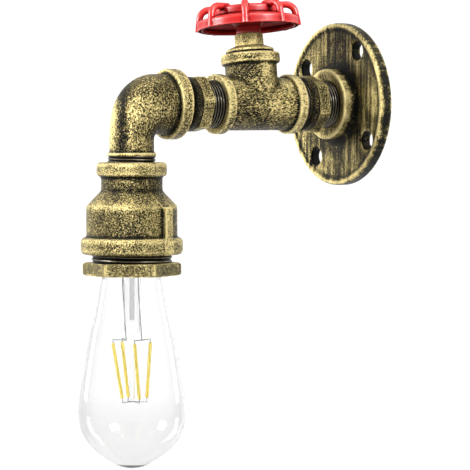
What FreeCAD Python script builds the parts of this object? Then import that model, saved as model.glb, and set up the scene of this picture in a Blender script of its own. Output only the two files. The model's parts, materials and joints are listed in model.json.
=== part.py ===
"""Industrial pipe wall light: a wall flange, threaded pipe fittings, a small valve and a hanging bulb.

Row frame, in millimetres: the origin is the centre of the flange's back face, on the wall plane Y = 0.
+Z is up, and the arm leaves the wall along -Y. Three kinds of local frame are used:
  arm    local Z is the distance from the wall along the arm
  drop   local Z is the depth below the arm's axis, on the axis of the bulb
  valve  local Z is the height above the arm's axis, along the leaning axis of the valve
"""
import FreeCAD
import Part
import Sketcher
import math
import os
import re

DIMENSIONS = {
    # wall flange
    "flange_diameter": 100.0,
    "flange_rim_thickness": 7.9,
    "flange_rim_width": 2.2,
    "flange_plate_thickness": 7.0,
    "flange_rim_round": 1.8,
    "flange_height": 15.2,
    "hub_diameter": 43.4,
    "hub_root_round": 3.0,
    "hub_mouth_width": 5.4,
    "hub_mouth_depth": 1.6,
    "bolt_edge": 10.8,
    "bolt_hole_diameter": 10.7,
    "bolt_count": 4.0,
    "bolt_angle": 56.0,
    # screwed joints of the arm
    "thread_diameter": 28.8,
    "thread_clearance": 0.05,
    "thread_engagement": 11.5,
    "socket_depth": 12.5,
    "pipe_bore": 19.0,
    # hexagon nipples
    "rear_long_thread": 6.8,
    "front_long_thread": 9.2,
    "nipple_hex_length": 7.3,
    "nipple_hex_flats": 31.0,
    "nipple_collar_length": 5.2,
    "nipple_collar_diameter": 32.8,
    "nipple_far_thread": 4.3,
    "rear_hex_corner": 41.0,
    "front_hex_corner": 8.5,
    "hex_chamfer": 0.8,
    # valve tee
    "tee_run_length": 57.8,
    "tee_band_width": 6.2,
    "tee_band_step": 2.25,
    "tee_body_diameter": 32.0,
    "tee_bore": 24.0,
    "tee_crotch_round": 3.0,
    "branch_diameter": 31.6,
    "branch_height": 30.7,
    "branch_band_height": 6.4,
    "branch_band_step": 2.2,
    "branch_bore_diameter": 24.5,
    "valve_lean": 7.0,
    "band_round": 1.2,
    # street elbow
    "elbow_reach": 31.2,
    "elbow_band_width": 8.2,
    "elbow_band_step": 3.15,
    "elbow_body_diameter": 36.0,
    "elbow_throat_round": 2.5,
    "elbow_bore_bend": 14.0,
    "leg_diameter": 26.6,
    "leg_ring_top": 28.6,
    "leg_ring_height": 2.1,
    "leg_ring_step": 1.4,
    "leg_thread_exposed": 3.6,
    # reducing socket
    "bell_bead_step": 2.6,
    "bell_bead_height": 8.5,
    "bell_neck_diameter": 36.6,
    "bell_neck_length": 8.4,
    "bell_neck_round": 2.5,
    "bell_shoulder_height": 9.0,
    "bell_shoulder_round": 4.0,
    "bell_body_diameter": 54.1,
    "bell_body_length": 18.4,
    "bell_foot_step": 3.25,
    "bell_foot_height": 10.3,
    "bell_rib_width": 6.0,
    "bell_rib_setback": 0.4,
    "bell_rib_angle": -16.8,
    "bell_rib_slope": 6.0,
    "bell_web_depth": 5.2,
    "bell_web_bore": 20.0,
    "bell_chamber_diameter": 32.0,
    "bell_chamber_depth": 8.0,
    "bell_cavity_diameter": 43.0,
    # hexagon bushing round the bulb
    "bushing_thread_diameter": 47.9,
    "bushing_engagement": 18.0,
    "bushing_thread_exposed": 4.8,
    "bushing_hex_height": 7.5,
    "bushing_hex_flats": 51.0,
    "bushing_hex_corner": -3.4,
    "bushing_bore": 40.0,
    "bushing_lip_bore": 37.2,
    "bushing_lip_height": 2.0,
    "bushing_gap": 0.5,
    # lampholder
    "holder_diameter": 39.2,
    "holder_washer_thickness": 1.5,
    "holder_washer_bore": 30.0,
    "holder_terminal_depth": 4.0,
    "holder_terminal_bore": 30.0,
    "holder_floor": 3.5,
    "holder_mouth_diameter": 34.8,
    "holder_mouth_depth": 3.5,
    "holder_rim_round": 0.8,
    "shell_bore": 26.5,
    "shell_wall": 0.5,
    "shell_clearance": 0.1,
    # bulb
    "cap_diameter": 26.05,
    "cap_wall": 0.6,
    "cap_skirt_diameter": 27.2,
    "cap_length": 25.6,
    "cap_shoulder": 5.4,
    "cap_neck_diameter": 17.0,
    "contact_gap": 0.15,
    "contact_diameter": 9.2,
    "contact_height": 1.3,
    "cap_seat_gap": 0.1,
    "glass_wall": 0.9,
    "glass_neck_diameter": 24.4,
    "glass_neck_length": 9.0,
    "glass_shoulder_diameter": 32.4,
    "glass_shoulder_drop": 3.0,
    "glass_waist_diameter": 39.4,
    "glass_waist_drop": 14.8,
    "glass_hip_diameter": 50.2,
    "glass_hip_drop": 39.8,
    "glass_chest_diameter": 60.2,
    "glass_chest_drop": 68.4,
    "glass_widest_diameter": 64.0,
    "glass_widest_drop": 86.1,
    "glass_belly_diameter": 57.8,
    "glass_belly_drop": 100.3,
    "glass_dome_diameter": 40.0,
    "glass_dome_drop": 110.2,
    "glass_crown_diameter": 22.0,
    "glass_crown_drop": 116.2,
    "glass_length": 119.3,
    "stem_tube_diameter": 8.8,
    "stem_tube_wall": 1.4,
    "stem_tube_end": 33.0,
    "stem_press_length": 7.5,
    "stem_press_width": 10.4,
    "stem_press_thickness": 4.2,
    "stem_press_angle": 57.0,
    "stem_rod_diameter": 3.0,
    "stem_rod_end": 78.8,
    "filament_count": 4.0,
    "filament_diameter": 2.0,
    "filament_top_drop": 44.7,
    "filament_top_circle": 22.4,
    "filament_bottom_drop": 76.6,
    "filament_bottom_circle": 15.2,
    "filament_start_angle": 36.0,
    "filament_twist": 6.0,
    "support_wire_diameter": 0.7,
    "support_wire_gap": 0.3,
    "lead_spread": 8.8,
    "lead_length": 3.0,
    # valve bonnet and stem
    "bonnet_thread_diameter": 26.0,
    "bonnet_thread_length": 12.0,
    "bonnet_collar_diameter": 29.0,
    "bonnet_collar_height": 4.2,
    "bonnet_collar_bevel": 2.2,
    "gasket_thickness": 0.5,
    "gasket_diameter": 27.4,
    "bonnet_neck_diameter": 12.0,
    "bonnet_neck_height": 5.0,
    "stem_guide_depth": 9.0,
    "gland_hex_flats": 15.4,
    "gland_height": 7.3,
    "gland_corner": -3.0,
    "gland_roof": 2.2,
    "spindle_diameter": 6.0,
    "spindle_running_gap": 0.05,
    "spindle_collar_diameter": 9.0,
    "spindle_collar_height": 2.4,
    "packing_gap": 0.05,
    "wheel_gap": 0.3,
    "spindle_square": 5.0,
    "spindle_end_diameter": 4.9,
    "spindle_tip": 0.6,
    # handwheel
    "wheel_hub_diameter": 15.0,
    "wheel_hub_flare": 4.0,
    "wheel_diameter": 65.0,
    "wheel_skirt_diameter": 62.0,
    "wheel_skirt_rise": 3.2,
    "wheel_skirt_height": 5.4,
    "wheel_skirt_wall": 3.0,
    "wheel_web_thickness": 2.6,
    "wheel_web_rise": 2.4,
    "wheel_crown_diameter": 41.0,
    "wheel_crown_height": 16.2,
    "wheel_crown_round": 1.6,
    "wheel_well_diameter": 20.0,
    "wheel_well_depth": 4.0,
    "wheel_rib_diameter": 4.3,
    "wheel_rib_count": 8.0,
    "wheel_rib_angle": 9.0,
    "wheel_rib_lean": 1.2,
    "wheel_rib_bend": 6.0,
    "wheel_rib_top": 18.4,
    "wheel_rib_reach": 15.0,
    "wheel_washer_diameter": 12.0,
    "wheel_washer_thickness": 1.0,
    "wheel_nut_flats": 8.0,
    "wheel_nut_height": 3.2,
    # wiring inside the pipes
    "wire_diameter": 2.4,
    "wire_spread": 11.0,
    "earth_wire_rise": 4.5,
    "wire_wall_gap": 1.0,
    "terminal_width": 6.0,
    "terminal_height": 7.0,
    "terminal_wall_gap": 0.1,
    "tail_width": 3.0,
    "tail_thickness": 0.8,
    "leaf_thickness": 0.5,
    "leaf_drop": 2.0,
    "lug_thickness": 0.8,
    "lug_diameter": 6.4,
    "lug_barrel_diameter": 4.2,
    "lug_barrel_height": 4.5,
    "lug_clearance": 0.3,
    "screw_diameter": 3.0,
    "screw_head_diameter": 5.4,
    "screw_head_height": 1.8,
    "earth_screw_length": 4.0,
}

PLACES = {
    # distances from the wall along the arm
    "nipple_middle": "nipple_hex_length + nipple_collar_length + nipple_far_thread",
    "tee_start": "flange_height + rear_long_thread + nipple_middle",
    "tee_half": "tee_run_length / 2",
    "tee_centre": "tee_start + tee_half",
    "tee_end": "tee_start + tee_run_length",
    "elbow_face": "tee_end + front_long_thread + nipple_middle",
    "drop_axis": "elbow_face + elbow_reach",
    "bolt_reach": "flange_diameter / 2 - bolt_edge",
    # raised bands
    "tee_band": "tee_body_diameter / 2 + tee_band_step",
    "branch_band": "branch_diameter / 2 + branch_band_step",
    "elbow_band": "elbow_body_diameter / 2 + elbow_band_step",
    "leg_ring": "leg_diameter / 2 + leg_ring_step",
    "bell_bead": "bell_neck_diameter / 2 + bell_bead_step",
    "bell_foot": "bell_body_diameter / 2 + bell_foot_step",
    # sizes shared by the screwed joints
    "thread_radius": "thread_diameter / 2",
    "socket_radius": "thread_radius + thread_clearance",
    "bore_radius": "pipe_bore / 2",
    # depths below the arm's axis
    "throat_centre": "leg_diameter / 2 + elbow_throat_round",
    "bend_depth": "elbow_body_diameter / 2 + elbow_throat_round",
    "leg_ring_end": "leg_ring_top + leg_ring_height",
    "bell_top": "leg_ring_end + leg_thread_exposed",
    "leg_end": "bell_top + thread_engagement",
    "bell_bead_round": "0.85 * bell_bead_step",
    "bell_foot_round": "0.85 * bell_foot_step",
    "bell_bead_end": "bell_top + bell_bead_height",
    "bell_neck_end": "bell_bead_end + bell_neck_length",
    "bell_shoulder_end": "bell_neck_end + bell_shoulder_height",
    "bell_foot_top": "bell_shoulder_end + bell_body_length",
    "bell_end": "bell_foot_top + bell_foot_height",
    "bell_socket_end": "bell_top + socket_depth",
    "bell_web_end": "bell_socket_end + bell_web_depth",
    "bell_seat": "bell_web_end + bell_chamber_depth",
    "bushing_top": "bell_end - bushing_engagement",
    "bell_thread_top": "bushing_top - bushing_gap",
    "bushing_radius": "bushing_thread_diameter / 2",
    "bushing_hex_top": "bell_end + bushing_thread_exposed",
    "bushing_end": "bushing_hex_top + bushing_hex_height",
    "holder_end": "bushing_end - bushing_lip_height",
    "holder_top": "bell_seat + holder_washer_thickness",
    "holder_terminal_floor": "holder_top + holder_terminal_depth",
    "holder_floor_end": "holder_terminal_floor + holder_floor",
    "holder_mouth_top": "holder_end - holder_mouth_depth",
    "shell_radius": "shell_bore / 2 + shell_wall",
    "leaf_end": "holder_floor_end + leaf_drop",
    "contact_top": "leaf_end + contact_gap",
    "contact_end": "contact_top + contact_height",
    "cap_top": "contact_end + cap_seat_gap",
    "cap_end": "contact_top + cap_length",
    "glass_start": "cap_end",
    "press_end": "glass_start + stem_tube_end + stem_press_length",
    "lead_end": "press_end + support_wire_gap + lead_length",
    # heights along the valve's axis
    "gasket_top": "branch_height + gasket_thickness",
    "bonnet_collar_top": "gasket_top + bonnet_collar_height",
    "bonnet_neck_top": "bonnet_collar_top + bonnet_neck_height",
    "gland_top": "bonnet_collar_top + gland_height",
    "gland_roof_bottom": "gland_top - gland_roof",
    "spindle_collar_bottom": "gasket_top + 0.5 * bonnet_collar_height",
    "spindle_collar_top": "spindle_collar_bottom + spindle_collar_height",
    "spindle_bottom": "spindle_collar_bottom - stem_guide_depth",
    "stuffing_radius": "spindle_collar_diameter / 2 + spindle_running_gap",
    "wheel_base": "gland_top + wheel_gap",
    "skirt_bottom": "wheel_base + wheel_skirt_rise",
    "skirt_top": "skirt_bottom + wheel_skirt_height",
    "web_inner_top": "skirt_top + wheel_web_rise",
    "crown_top": "wheel_base + wheel_crown_height",
    "well_floor": "crown_top - wheel_well_depth",
    "rib_axis_top": "wheel_base + wheel_rib_top - wheel_rib_diameter / 2",
    "rib_foot": "wheel_diameter / 2 - wheel_rib_diameter / 2",
    "wheel_nut_bottom": "well_floor + wheel_washer_thickness",
    "spindle_end": "wheel_nut_bottom + wheel_nut_height + spindle_tip",
    # wiring
    "wire_side": "wire_spread / 2",
    "wire_radius": "wire_diameter / 2",
    "terminal_top": "holder_terminal_floor - terminal_height",
    "wire_end": "holder_terminal_floor - terminal_wall_gap",
    "lug_reach": "bell_chamber_diameter / 2 - lug_diameter / 2 - lug_clearance",
}

NAME = re.compile(r"[a-z][a-z_]*")
VERTICAL = FreeCAD.Vector(0, 0, 1)
ALONG_ARM = FreeCAD.Vector(0, 1, 0)
ACROSS = FreeCAD.Vector(1, 0, 0)
CENTRE = FreeCAD.Vector(0, 0, 0)
FULL_TURN = 360.0
HALF_TURN = 180.0
QUARTER_TURN = 90.0
MATCH = 1e-4
HEX_SIDES = 6
BEND_SECTIONS = 5
GLASS_STATIONS = ("shoulder", "waist", "hip", "chest", "widest", "belly", "dome", "crown")

doc = FreeCAD.newDocument("pipe_wall_light")
dims = doc.addObject("Spreadsheet::Sheet", "Dims")
places = doc.addObject("Spreadsheet::Sheet", "Places")


# ---------------------------------------------------------------- sizes

def bound(text):
    """Turns a formula of plain names into one that points at the sheets' cells."""
    def cell(found):
        word = found.group()
        if word in DIMENSIONS:
            return "Dims." + word
        if word in PLACES:
            return "Places." + word
        return word
    return NAME.sub(cell, text)


def fill_sheets():
    """Writes the driving sizes as plain numbers, and the places worked out from them as formulas."""
    for row, (name, value) in enumerate(DIMENSIONS.items(), start=1):
        dims.set("A%d" % row, name)
        dims.set("B%d" % row, str(value))
        dims.setAlias("B%d" % row, name)
    for row, (name, formula) in enumerate(PLACES.items(), start=1):
        places.set("A%d" % row, name)
        places.setAlias("B%d" % row, name)
    for row, formula in enumerate(PLACES.values(), start=1):
        places.set("B%d" % row, "=" + bound(formula))
    doc.recompute()


def number(text):
    """The present value of a formula."""
    value = places.evalExpression(bound(text))
    return float(getattr(value, "Value", value))


# ---------------------------------------------------------------- bodies and sketches

def new_body(label, frame="world"):
    """A body in one of the local frames."""
    body = doc.addObject("PartDesign::Body", label)
    body.Label = label
    if frame == "arm":
        body.Placement = FreeCAD.Placement(CENTRE, FreeCAD.Rotation(ACROSS, QUARTER_TURN))
    if frame == "drop":
        body.Placement = FreeCAD.Placement(CENTRE, FreeCAD.Rotation(ACROSS, HALF_TURN))
        body.setExpression("Placement.Base.y", bound("-drop_axis"))
    if frame == "bend":
        body.setExpression("Placement.Base.y", bound("-drop_axis"))
    if frame == "valve":
        body.Placement = FreeCAD.Placement(CENTRE, FreeCAD.Rotation(ALONG_ARM, -number("valve_lean")))
        body.setExpression("Placement.Rotation.Angle", bound("-valve_lean * 1deg"))
        body.setExpression("Placement.Base.y", bound("-tee_centre"))
    return body


def origin_part(body, role):
    """One plane or axis of a body's own origin."""
    for part in body.Origin.OriginFeatures:
        if part.Role == role:
            return part
    raise ValueError("no " + role)


def new_sketch(body, name, plane="XZ_Plane", offset=None):
    """A sketch on one of the body's own planes, raised by an offset along the plane's normal."""
    sketch = body.newObject("Sketcher::SketchObject", body.Name + "_" + name)
    sketch.AttachmentSupport = [(origin_part(body, plane), "")]
    sketch.MapMode = "FlatFace"
    if offset:
        sketch.setExpression("AttachmentOffset.Base.z", bound(offset))
    return sketch


def hold(sketch, kind, text, *where):
    """A measured constraint whose value follows a formula."""
    index = sketch.addConstraint(Sketcher.Constraint(kind, *where, number(text)))
    sketch.setExpression("Constraints[%d]" % index, bound(text))


def pin(sketch, geometry, end, across, up):
    """Ties a point of a sketch to its place, measured from the sketch's origin."""
    for kind, text, axis in (("DistanceX", across, -2), ("DistanceY", up, -1)):
        if text == "0":
            sketch.addConstraint(Sketcher.Constraint("PointOnObject", geometry, end, axis))
        else:
            hold(sketch, kind, text, -1, 1, geometry, end)


def spot(across, up):
    """A sketch point at the present value of two formulas."""
    return FreeCAD.Vector(number(across), number(up), 0)


def draw_outline(sketch, corners):
    """A closed outline of straight edges through corners given as formulas."""
    count = len(corners)
    for index in range(count):
        start = spot(*corners[index][:2])
        end = spot(*corners[(index + 1) % count][:2])
        sketch.addGeometry(Part.LineSegment(start, end), False)
    for index in range(count):
        sketch.addConstraint(Sketcher.Constraint("Coincident", index, 2, (index + 1) % count, 1))
    for index in range(count):
        pin(sketch, index, 1, *corners[index][:2])


def draw_circle(sketch, radius, across="0", up="0"):
    """A circle whose centre and radius follow formulas."""
    index = sketch.addGeometry(Part.Circle(spot(across, up), VERTICAL, number(radius)), False)
    pin(sketch, index, 3, across, up)
    hold(sketch, "Radius", radius, index)


def hex_corners(flats, first_corner):
    """The corners of a hexagon, from its size across the flats and the angle of its first corner."""
    corners = []
    for index in range(HEX_SIDES):
        angle = "(%s + %d) * 1deg" % (first_corner, index * FULL_TURN / HEX_SIDES)
        corners.append(("%s / sqrt(3) * cos(%s)" % (flats, angle), "%s / sqrt(3) * sin(%s)" % (flats, angle)))
    return corners


def box_corners(left, right, low, high):
    """The corners of an upright rectangle."""
    return [(left, low), (right, low), (right, high), (left, high)]


def corner_arc(middle, first, second):
    """The short arc about a middle point, and which of its ends lies at the first point."""
    angles = [math.atan2(point.y - middle.y, point.x - middle.x) for point in (first, second)]
    circle = Part.Circle(middle, VERTICAL, middle.distanceToPoint(first))
    forward = (angles[1] - angles[0]) % (2 * math.pi) < math.pi
    if forward:
        return Part.ArcOfCircle(circle, angles[0], angles[1]), 1
    return Part.ArcOfCircle(circle, angles[1], angles[0]), 2


def draw_bend(sketch, start, turn_radius, corner_across, corner_up, end):
    """A path of two straight runs, level then upright, joined by a tangent arc at their corner."""
    radius = number(turn_radius)
    corner = spot(corner_across, corner_up)
    begin = FreeCAD.Vector(number(start), corner.y, 0)
    finish = FreeCAD.Vector(corner.x, number(end), 0)
    side = math.copysign(radius, begin.x - corner.x)
    fall = math.copysign(radius, finish.y - corner.y)
    arc_start = FreeCAD.Vector(corner.x + side, corner.y, 0)
    arc_end = FreeCAD.Vector(corner.x, corner.y + fall, 0)
    arc, near_end = corner_arc(FreeCAD.Vector(arc_start.x, arc_end.y, 0), arc_start, arc_end)
    sketch.addGeometry(Part.LineSegment(begin, arc_start), False)
    sketch.addGeometry(arc, False)
    sketch.addGeometry(Part.LineSegment(arc_end, finish), False)
    join_path(sketch, near_end)
    pin(sketch, 0, 1, start, corner_up)
    sketch.addConstraint(Sketcher.Constraint("Horizontal", 0))
    sketch.addConstraint(Sketcher.Constraint("Vertical", 2))
    pin(sketch, 2, 2, corner_across, end)
    hold(sketch, "Radius", turn_radius, 1)


def join_path(sketch, near_end):
    """Makes line, arc and line of a path tangent where they meet."""
    sketch.addConstraint(Sketcher.Constraint("Tangent", 0, 2, 1, near_end))
    sketch.addConstraint(Sketcher.Constraint("Tangent", 1, 3 - near_end, 2, 1))


# ---------------------------------------------------------------- features

def revolve(body, name, corners, kind="Revolution", axis="V_Axis", plane="XZ_Plane"):
    """Turns an outline about an axis of its sketch, to add or to cut."""
    sketch = new_sketch(body, name + "_outline", plane)
    draw_outline(sketch, corners)
    feature = body.newObject("PartDesign::" + kind, body.Name + "_" + name)
    feature.Profile = sketch
    feature.ReferenceAxis = (sketch, [axis])
    feature.Angle = FULL_TURN
    doc.recompute()
    return feature


def ring_edges(shape, rings, direction):
    """Names of the circular edges at given radii and heights about an axis."""
    names = []
    for index, edge in enumerate(shape.Edges, start=1):
        if not isinstance(edge.Curve, Part.Circle):
            continue
        for radius, height in rings:
            level = edge.Curve.Center.dot(direction)
            if abs(edge.Curve.Radius - radius) < MATCH and abs(level - height) < MATCH:
                names.append("Edge%d" % index)
    return names


def round_edges(body, name, edges, radius):
    """Rounds named edges of the body's last feature."""
    base = body.Tip
    fillet = body.newObject("PartDesign::Fillet", body.Name + "_" + name)
    fillet.Base = (base, edges)
    fillet.Radius = number(radius)
    fillet.setExpression("Radius", bound(radius))
    doc.recompute()
    return fillet


def round_corners(body, name, corners, axis="V_Axis"):
    """Rounds the rings turned from the corners that carry a round size."""
    direction = VERTICAL if axis == "V_Axis" else ALONG_ARM
    sizes = []
    for corner in corners:
        if len(corner) == 3 and corner[2] not in sizes:
            sizes.append(corner[2])
    for order, size in enumerate(sizes):
        rings = []
        for corner in corners:
            if len(corner) == 3 and corner[2] == size:
                across, up = number(corner[0]), number(corner[1])
                rings.append((across, up) if axis == "V_Axis" else (up, across))
        edges = ring_edges(body.Tip.Shape, rings, direction)
        round_edges(body, "%s_round_%d" % (name, order), edges, size)


def turned(body, name, corners, **options):
    """A turned form with its rounded rings."""
    revolve(body, name, corners, **options)
    round_corners(body, name, corners, options.get("axis", "V_Axis"))


def grow(body, name, sketch, length, kind="Pad"):
    """Pads or pockets a sketch by a length."""
    feature = body.newObject("PartDesign::" + kind, body.Name + "_" + name)
    feature.Profile = sketch
    feature.setExpression("Length", bound(length))
    doc.recompute()
    return feature


def cut_down(body, name, sketch, length):
    """Cuts a sketch into the body along its plane's normal, and proves that it removed something."""
    before = body.Tip.Shape.Volume
    feature = grow(body, name, sketch, length, "Pocket")
    feature.Reversed = True
    doc.recompute()
    if feature.Shape.Volume > before - MATCH:
        raise ValueError(name + " cuts nothing")
    return feature


def repeat(body, name, feature, count):
    """Repeats a feature round the body's own upright axis."""
    pattern = body.newObject("PartDesign::PolarPattern", body.Name + "_" + name)
    pattern.Originals = [feature]
    pattern.Axis = (origin_part(body, "Z_Axis"), [""])
    pattern.Angle = FULL_TURN
    pattern.setExpression("Occurrences", bound(count))
    body.Tip = pattern
    doc.recompute()
    return pattern


def hexagon(body, name, flats, first_corner, bottom, length):
    """A hexagon with its corners taken off at both ends."""
    sketch = new_sketch(body, name + "_flats", "XY_Plane", bottom)
    draw_outline(sketch, hex_corners(flats, first_corner))
    grow(body, name, sketch, length)
    corner = "%s / sqrt(3)" % flats
    for end, level, inward in (("low", bottom, "+"), ("high", bottom + " + " + length, "-")):
        corners = [("%s - 2 * hex_chamfer" % corner, level),
                   ("%s + hex_chamfer" % corner, level),
                   ("%s + hex_chamfer" % corner, "%s %s 1.5 * hex_chamfer" % (level, inward))]
        revolve(body, "%s_%s_bevel" % (name, end), corners, kind="Groove")


def sweep(body, name, plane, profile_offset, radius, centre, path, kind="AdditivePipe", path_offset=None):
    """Runs a circle along a bent path."""
    spine = new_sketch(body, name + "_path", "YZ_Plane", path_offset)
    draw_bend(spine, *path)
    section = new_sketch(body, name + "_section", plane, profile_offset)
    draw_circle(section, radius, *centre)
    feature = body.newObject("PartDesign::" + kind, body.Name + "_" + name)
    feature.Profile = section
    feature.Spine = spine
    doc.recompute()
    return feature


# ---------------------------------------------------------------- pipe fittings

def make_flange():
    """Cast wall flange: a dished plate with a rounded rim, a hub and four bolt holes."""
    body = new_body("wall_flange", "arm")
    outer = "flange_diameter / 2"
    rim_inner = "flange_diameter / 2 - flange_rim_width"
    hub = "hub_diameter / 2"
    corners = [
        ("socket_radius", "0"),
        (outer, "0", "0.4 * flange_rim_round"),
        (outer, "flange_rim_thickness", "flange_rim_round"),
        (rim_inner, "flange_rim_thickness"),
        (rim_inner + " - flange_rim_width", "flange_plate_thickness"),
        (hub, "flange_plate_thickness", "hub_root_round"),
        (hub, "flange_height", "0.5 * hub_mouth_depth"),
        (hub + " - 0.35 * hub_mouth_width", "flange_height"),
        ("socket_radius", "flange_height - hub_mouth_depth"),
    ]
    turned(body, "plate", corners)
    sketch = new_sketch(body, "hole", "XY_Plane")
    angle = "bolt_angle * 1deg"
    draw_circle(sketch, "bolt_hole_diameter / 2", "bolt_reach * cos(%s)" % angle, "bolt_reach * sin(%s)" % angle)
    hole = cut_down(body, "bolt_hole", sketch, "flange_rim_thickness")
    repeat(body, "bolt_holes", hole, "bolt_count")
    return body


def make_nipple(label, start, long_thread, first_corner):
    """Hexagon nipple: long thread, hexagon, round collar and short thread over one bore."""
    body = new_body(label, "arm")
    hex_start = start + " + " + long_thread
    collar_start = hex_start + " + nipple_hex_length"
    collar_end = collar_start + " + nipple_collar_length"
    low = start + " - thread_engagement"
    high = hex_start + " + nipple_middle + thread_engagement"
    collar = "nipple_collar_diameter / 2"
    corners = [
        ("bore_radius", low),
        ("thread_radius - hex_chamfer", low),
        ("thread_radius", low + " + hex_chamfer"),
        ("thread_radius", collar_start + " - hex_chamfer"),
        (collar, collar_start + " - hex_chamfer"),
        (collar, collar_end, "hex_chamfer"),
        ("thread_radius", collar_end),
        ("thread_radius", high + " - hex_chamfer"),
        ("thread_radius - hex_chamfer", high),
        ("bore_radius", high),
    ]
    turned(body, "turned", corners)
    hexagon(body, "hex", "nipple_hex_flats", first_corner, hex_start, "nipple_hex_length")
    bore = [("0", low), ("bore_radius", low), ("bore_radius", high), ("0", high)]
    revolve(body, "bore", bore, kind="Groove")
    return body


def make_tee():
    """Valve body: a banded run across the arm and a banded branch that carries the bonnet."""
    body = new_body("valve_tee", "valve")
    inner_band = "tee_half - tee_band_width"
    band = "tee_band"
    run = "tee_body_diameter / 2"
    corners = [
        ("-tee_half", "0"),
        ("-tee_half", band, "band_round"),
        ("-(%s)" % inner_band, band, "band_round"),
        ("-(%s)" % inner_band, run),
        (inner_band, run),
        (inner_band, band, "band_round"),
        ("tee_half", band, "band_round"),
        ("tee_half", "0"),
    ]
    revolve(body, "run", corners, axis="H_Axis", plane="YZ_Plane")
    branch_band = "branch_band"
    branch_low = "branch_height - branch_band_height"
    branch = [
        ("0", "0"),
        ("branch_diameter / 2", "0"),
        ("branch_diameter / 2", branch_low),
        (branch_band, branch_low, "band_round"),
        (branch_band, "branch_height", "band_round"),
        ("0", "branch_height"),
    ]
    revolve(body, "branch", branch)
    crotch = crotch_edges(body.Tip.Shape)
    round_edges(body, "crotch", crotch, "tee_crotch_round")
    round_corners(body, "run", corners, "H_Axis")
    round_corners(body, "branch", branch)
    socket_floor = "tee_half - socket_depth"
    bore = [
        ("-tee_half", "0"),
        ("-tee_half", "socket_radius"),
        ("-(%s)" % socket_floor, "socket_radius"),
        ("-(%s)" % socket_floor, "tee_bore / 2"),
        (socket_floor, "tee_bore / 2"),
        (socket_floor, "socket_radius"),
        ("tee_half", "socket_radius"),
        ("tee_half", "0"),
    ]
    revolve(body, "run_bore", bore, kind="Groove", axis="H_Axis", plane="YZ_Plane")
    thread_low = "branch_height - bonnet_thread_length"
    bonnet_hole = "bonnet_thread_diameter / 2 + thread_clearance"
    mouth = [
        ("0", "0"),
        ("branch_bore_diameter / 2", "0"),
        ("branch_bore_diameter / 2", thread_low),
        (bonnet_hole, thread_low),
        (bonnet_hole, "branch_height"),
        ("0", "branch_height"),
    ]
    revolve(body, "branch_bore", mouth, kind="Groove")
    return body


def crotch_edges(shape):
    """Names of the curved edges where the branch meets the run."""
    names = []
    for index, edge in enumerate(shape.Edges, start=1):
        box = edge.BoundBox
        low_enough = box.ZMax < number("tee_body_diameter / 2 + band_round")
        between_bands = box.YMax - box.YMin > number("branch_diameter / 2") and box.XMax - box.XMin > MATCH
        if low_enough and between_bands and not isinstance(edge.Curve, (Part.Circle, Part.Line)):
            names.append("Edge%d" % index)
    return names


def make_elbow():
    """Street elbow: a banded mouth on the arm, a bend that narrows, and a threaded leg pointing down."""
    body = new_body("street_elbow", "bend")
    band_start = "elbow_reach - elbow_band_width"
    band = "elbow_band"
    mouth = [
        ("throat_centre", "0"),
        ("throat_centre", "elbow_body_diameter / 2"),
        (band_start, "elbow_body_diameter / 2"),
        (band_start, band, "band_round"),
        ("elbow_reach", band, "band_round"),
        ("elbow_reach", "0"),
    ]
    revolve(body, "mouth", mouth, axis="H_Axis", plane="YZ_Plane")
    round_corners(body, "mouth", mouth, "H_Axis")
    make_bend(body)
    leg = [
        ("0", "-bend_depth"),
        ("leg_diameter / 2", "-bend_depth"),
        ("leg_diameter / 2", "-leg_ring_top"),
        ("leg_ring", "-leg_ring_top"),
        ("leg_ring", "-leg_ring_end"),
        ("thread_radius", "-leg_ring_end"),
        ("thread_radius", "-(leg_end - hex_chamfer)"),
        ("thread_radius - hex_chamfer", "-leg_end"),
        ("0", "-leg_end"),
    ]
    revolve(body, "leg", leg)
    socket_floor = "elbow_reach - socket_depth"
    socket = [
        (socket_floor, "0"),
        (socket_floor, "socket_radius"),
        ("elbow_reach", "socket_radius"),
        ("elbow_reach", "0"),
    ]
    revolve(body, "socket", socket, kind="Groove", axis="H_Axis", plane="YZ_Plane")
    start = "elbow_reach + hex_chamfer"
    path = (start, "elbow_bore_bend", "0", "0", "-(leg_end + hex_chamfer)")
    sweep(body, "bore", "XZ_Plane", "-(%s)" % start, "bore_radius", ("0", "0"), path, kind="SubtractivePipe")
    return body


def make_bend(body):
    """The elbow's bend, lofted through circles that fan out about the throat."""
    radii = bend_radii()
    sections = []
    for index in range(BEND_SECTIONS):
        turn = QUARTER_TURN * index / (BEND_SECTIONS - 1)
        sketch = new_sketch(body, "bend_%d" % index)
        sketch.AttachmentOffset = FreeCAD.Placement(CENTRE, FreeCAD.Rotation(ACROSS, turn))
        sketch.setExpression("AttachmentOffset.Base.y", bound("-bend_depth"))
        sketch.setExpression("AttachmentOffset.Base.z", bound("-throat_centre"))
        draw_circle(sketch, radii[index], "0", "elbow_throat_round + " + radii[index])
        sections.append(sketch)
    loft = body.newObject("PartDesign::AdditiveLoft", "street_elbow_bend")
    loft.Profile = sections[0]
    loft.Sections = sections[1:]
    doc.recompute()


def bend_radii():
    """Formulas for the bend's radius, which eases from the mouth's to the leg's."""
    formulas = []
    for index in range(BEND_SECTIONS):
        share = (1 + math.cos(math.pi * index / (BEND_SECTIONS - 1))) / 2
        formulas.append("(%.6f * elbow_body_diameter + %.6f * leg_diameter) / 2" % (share, 1 - share))
    return formulas


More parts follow.
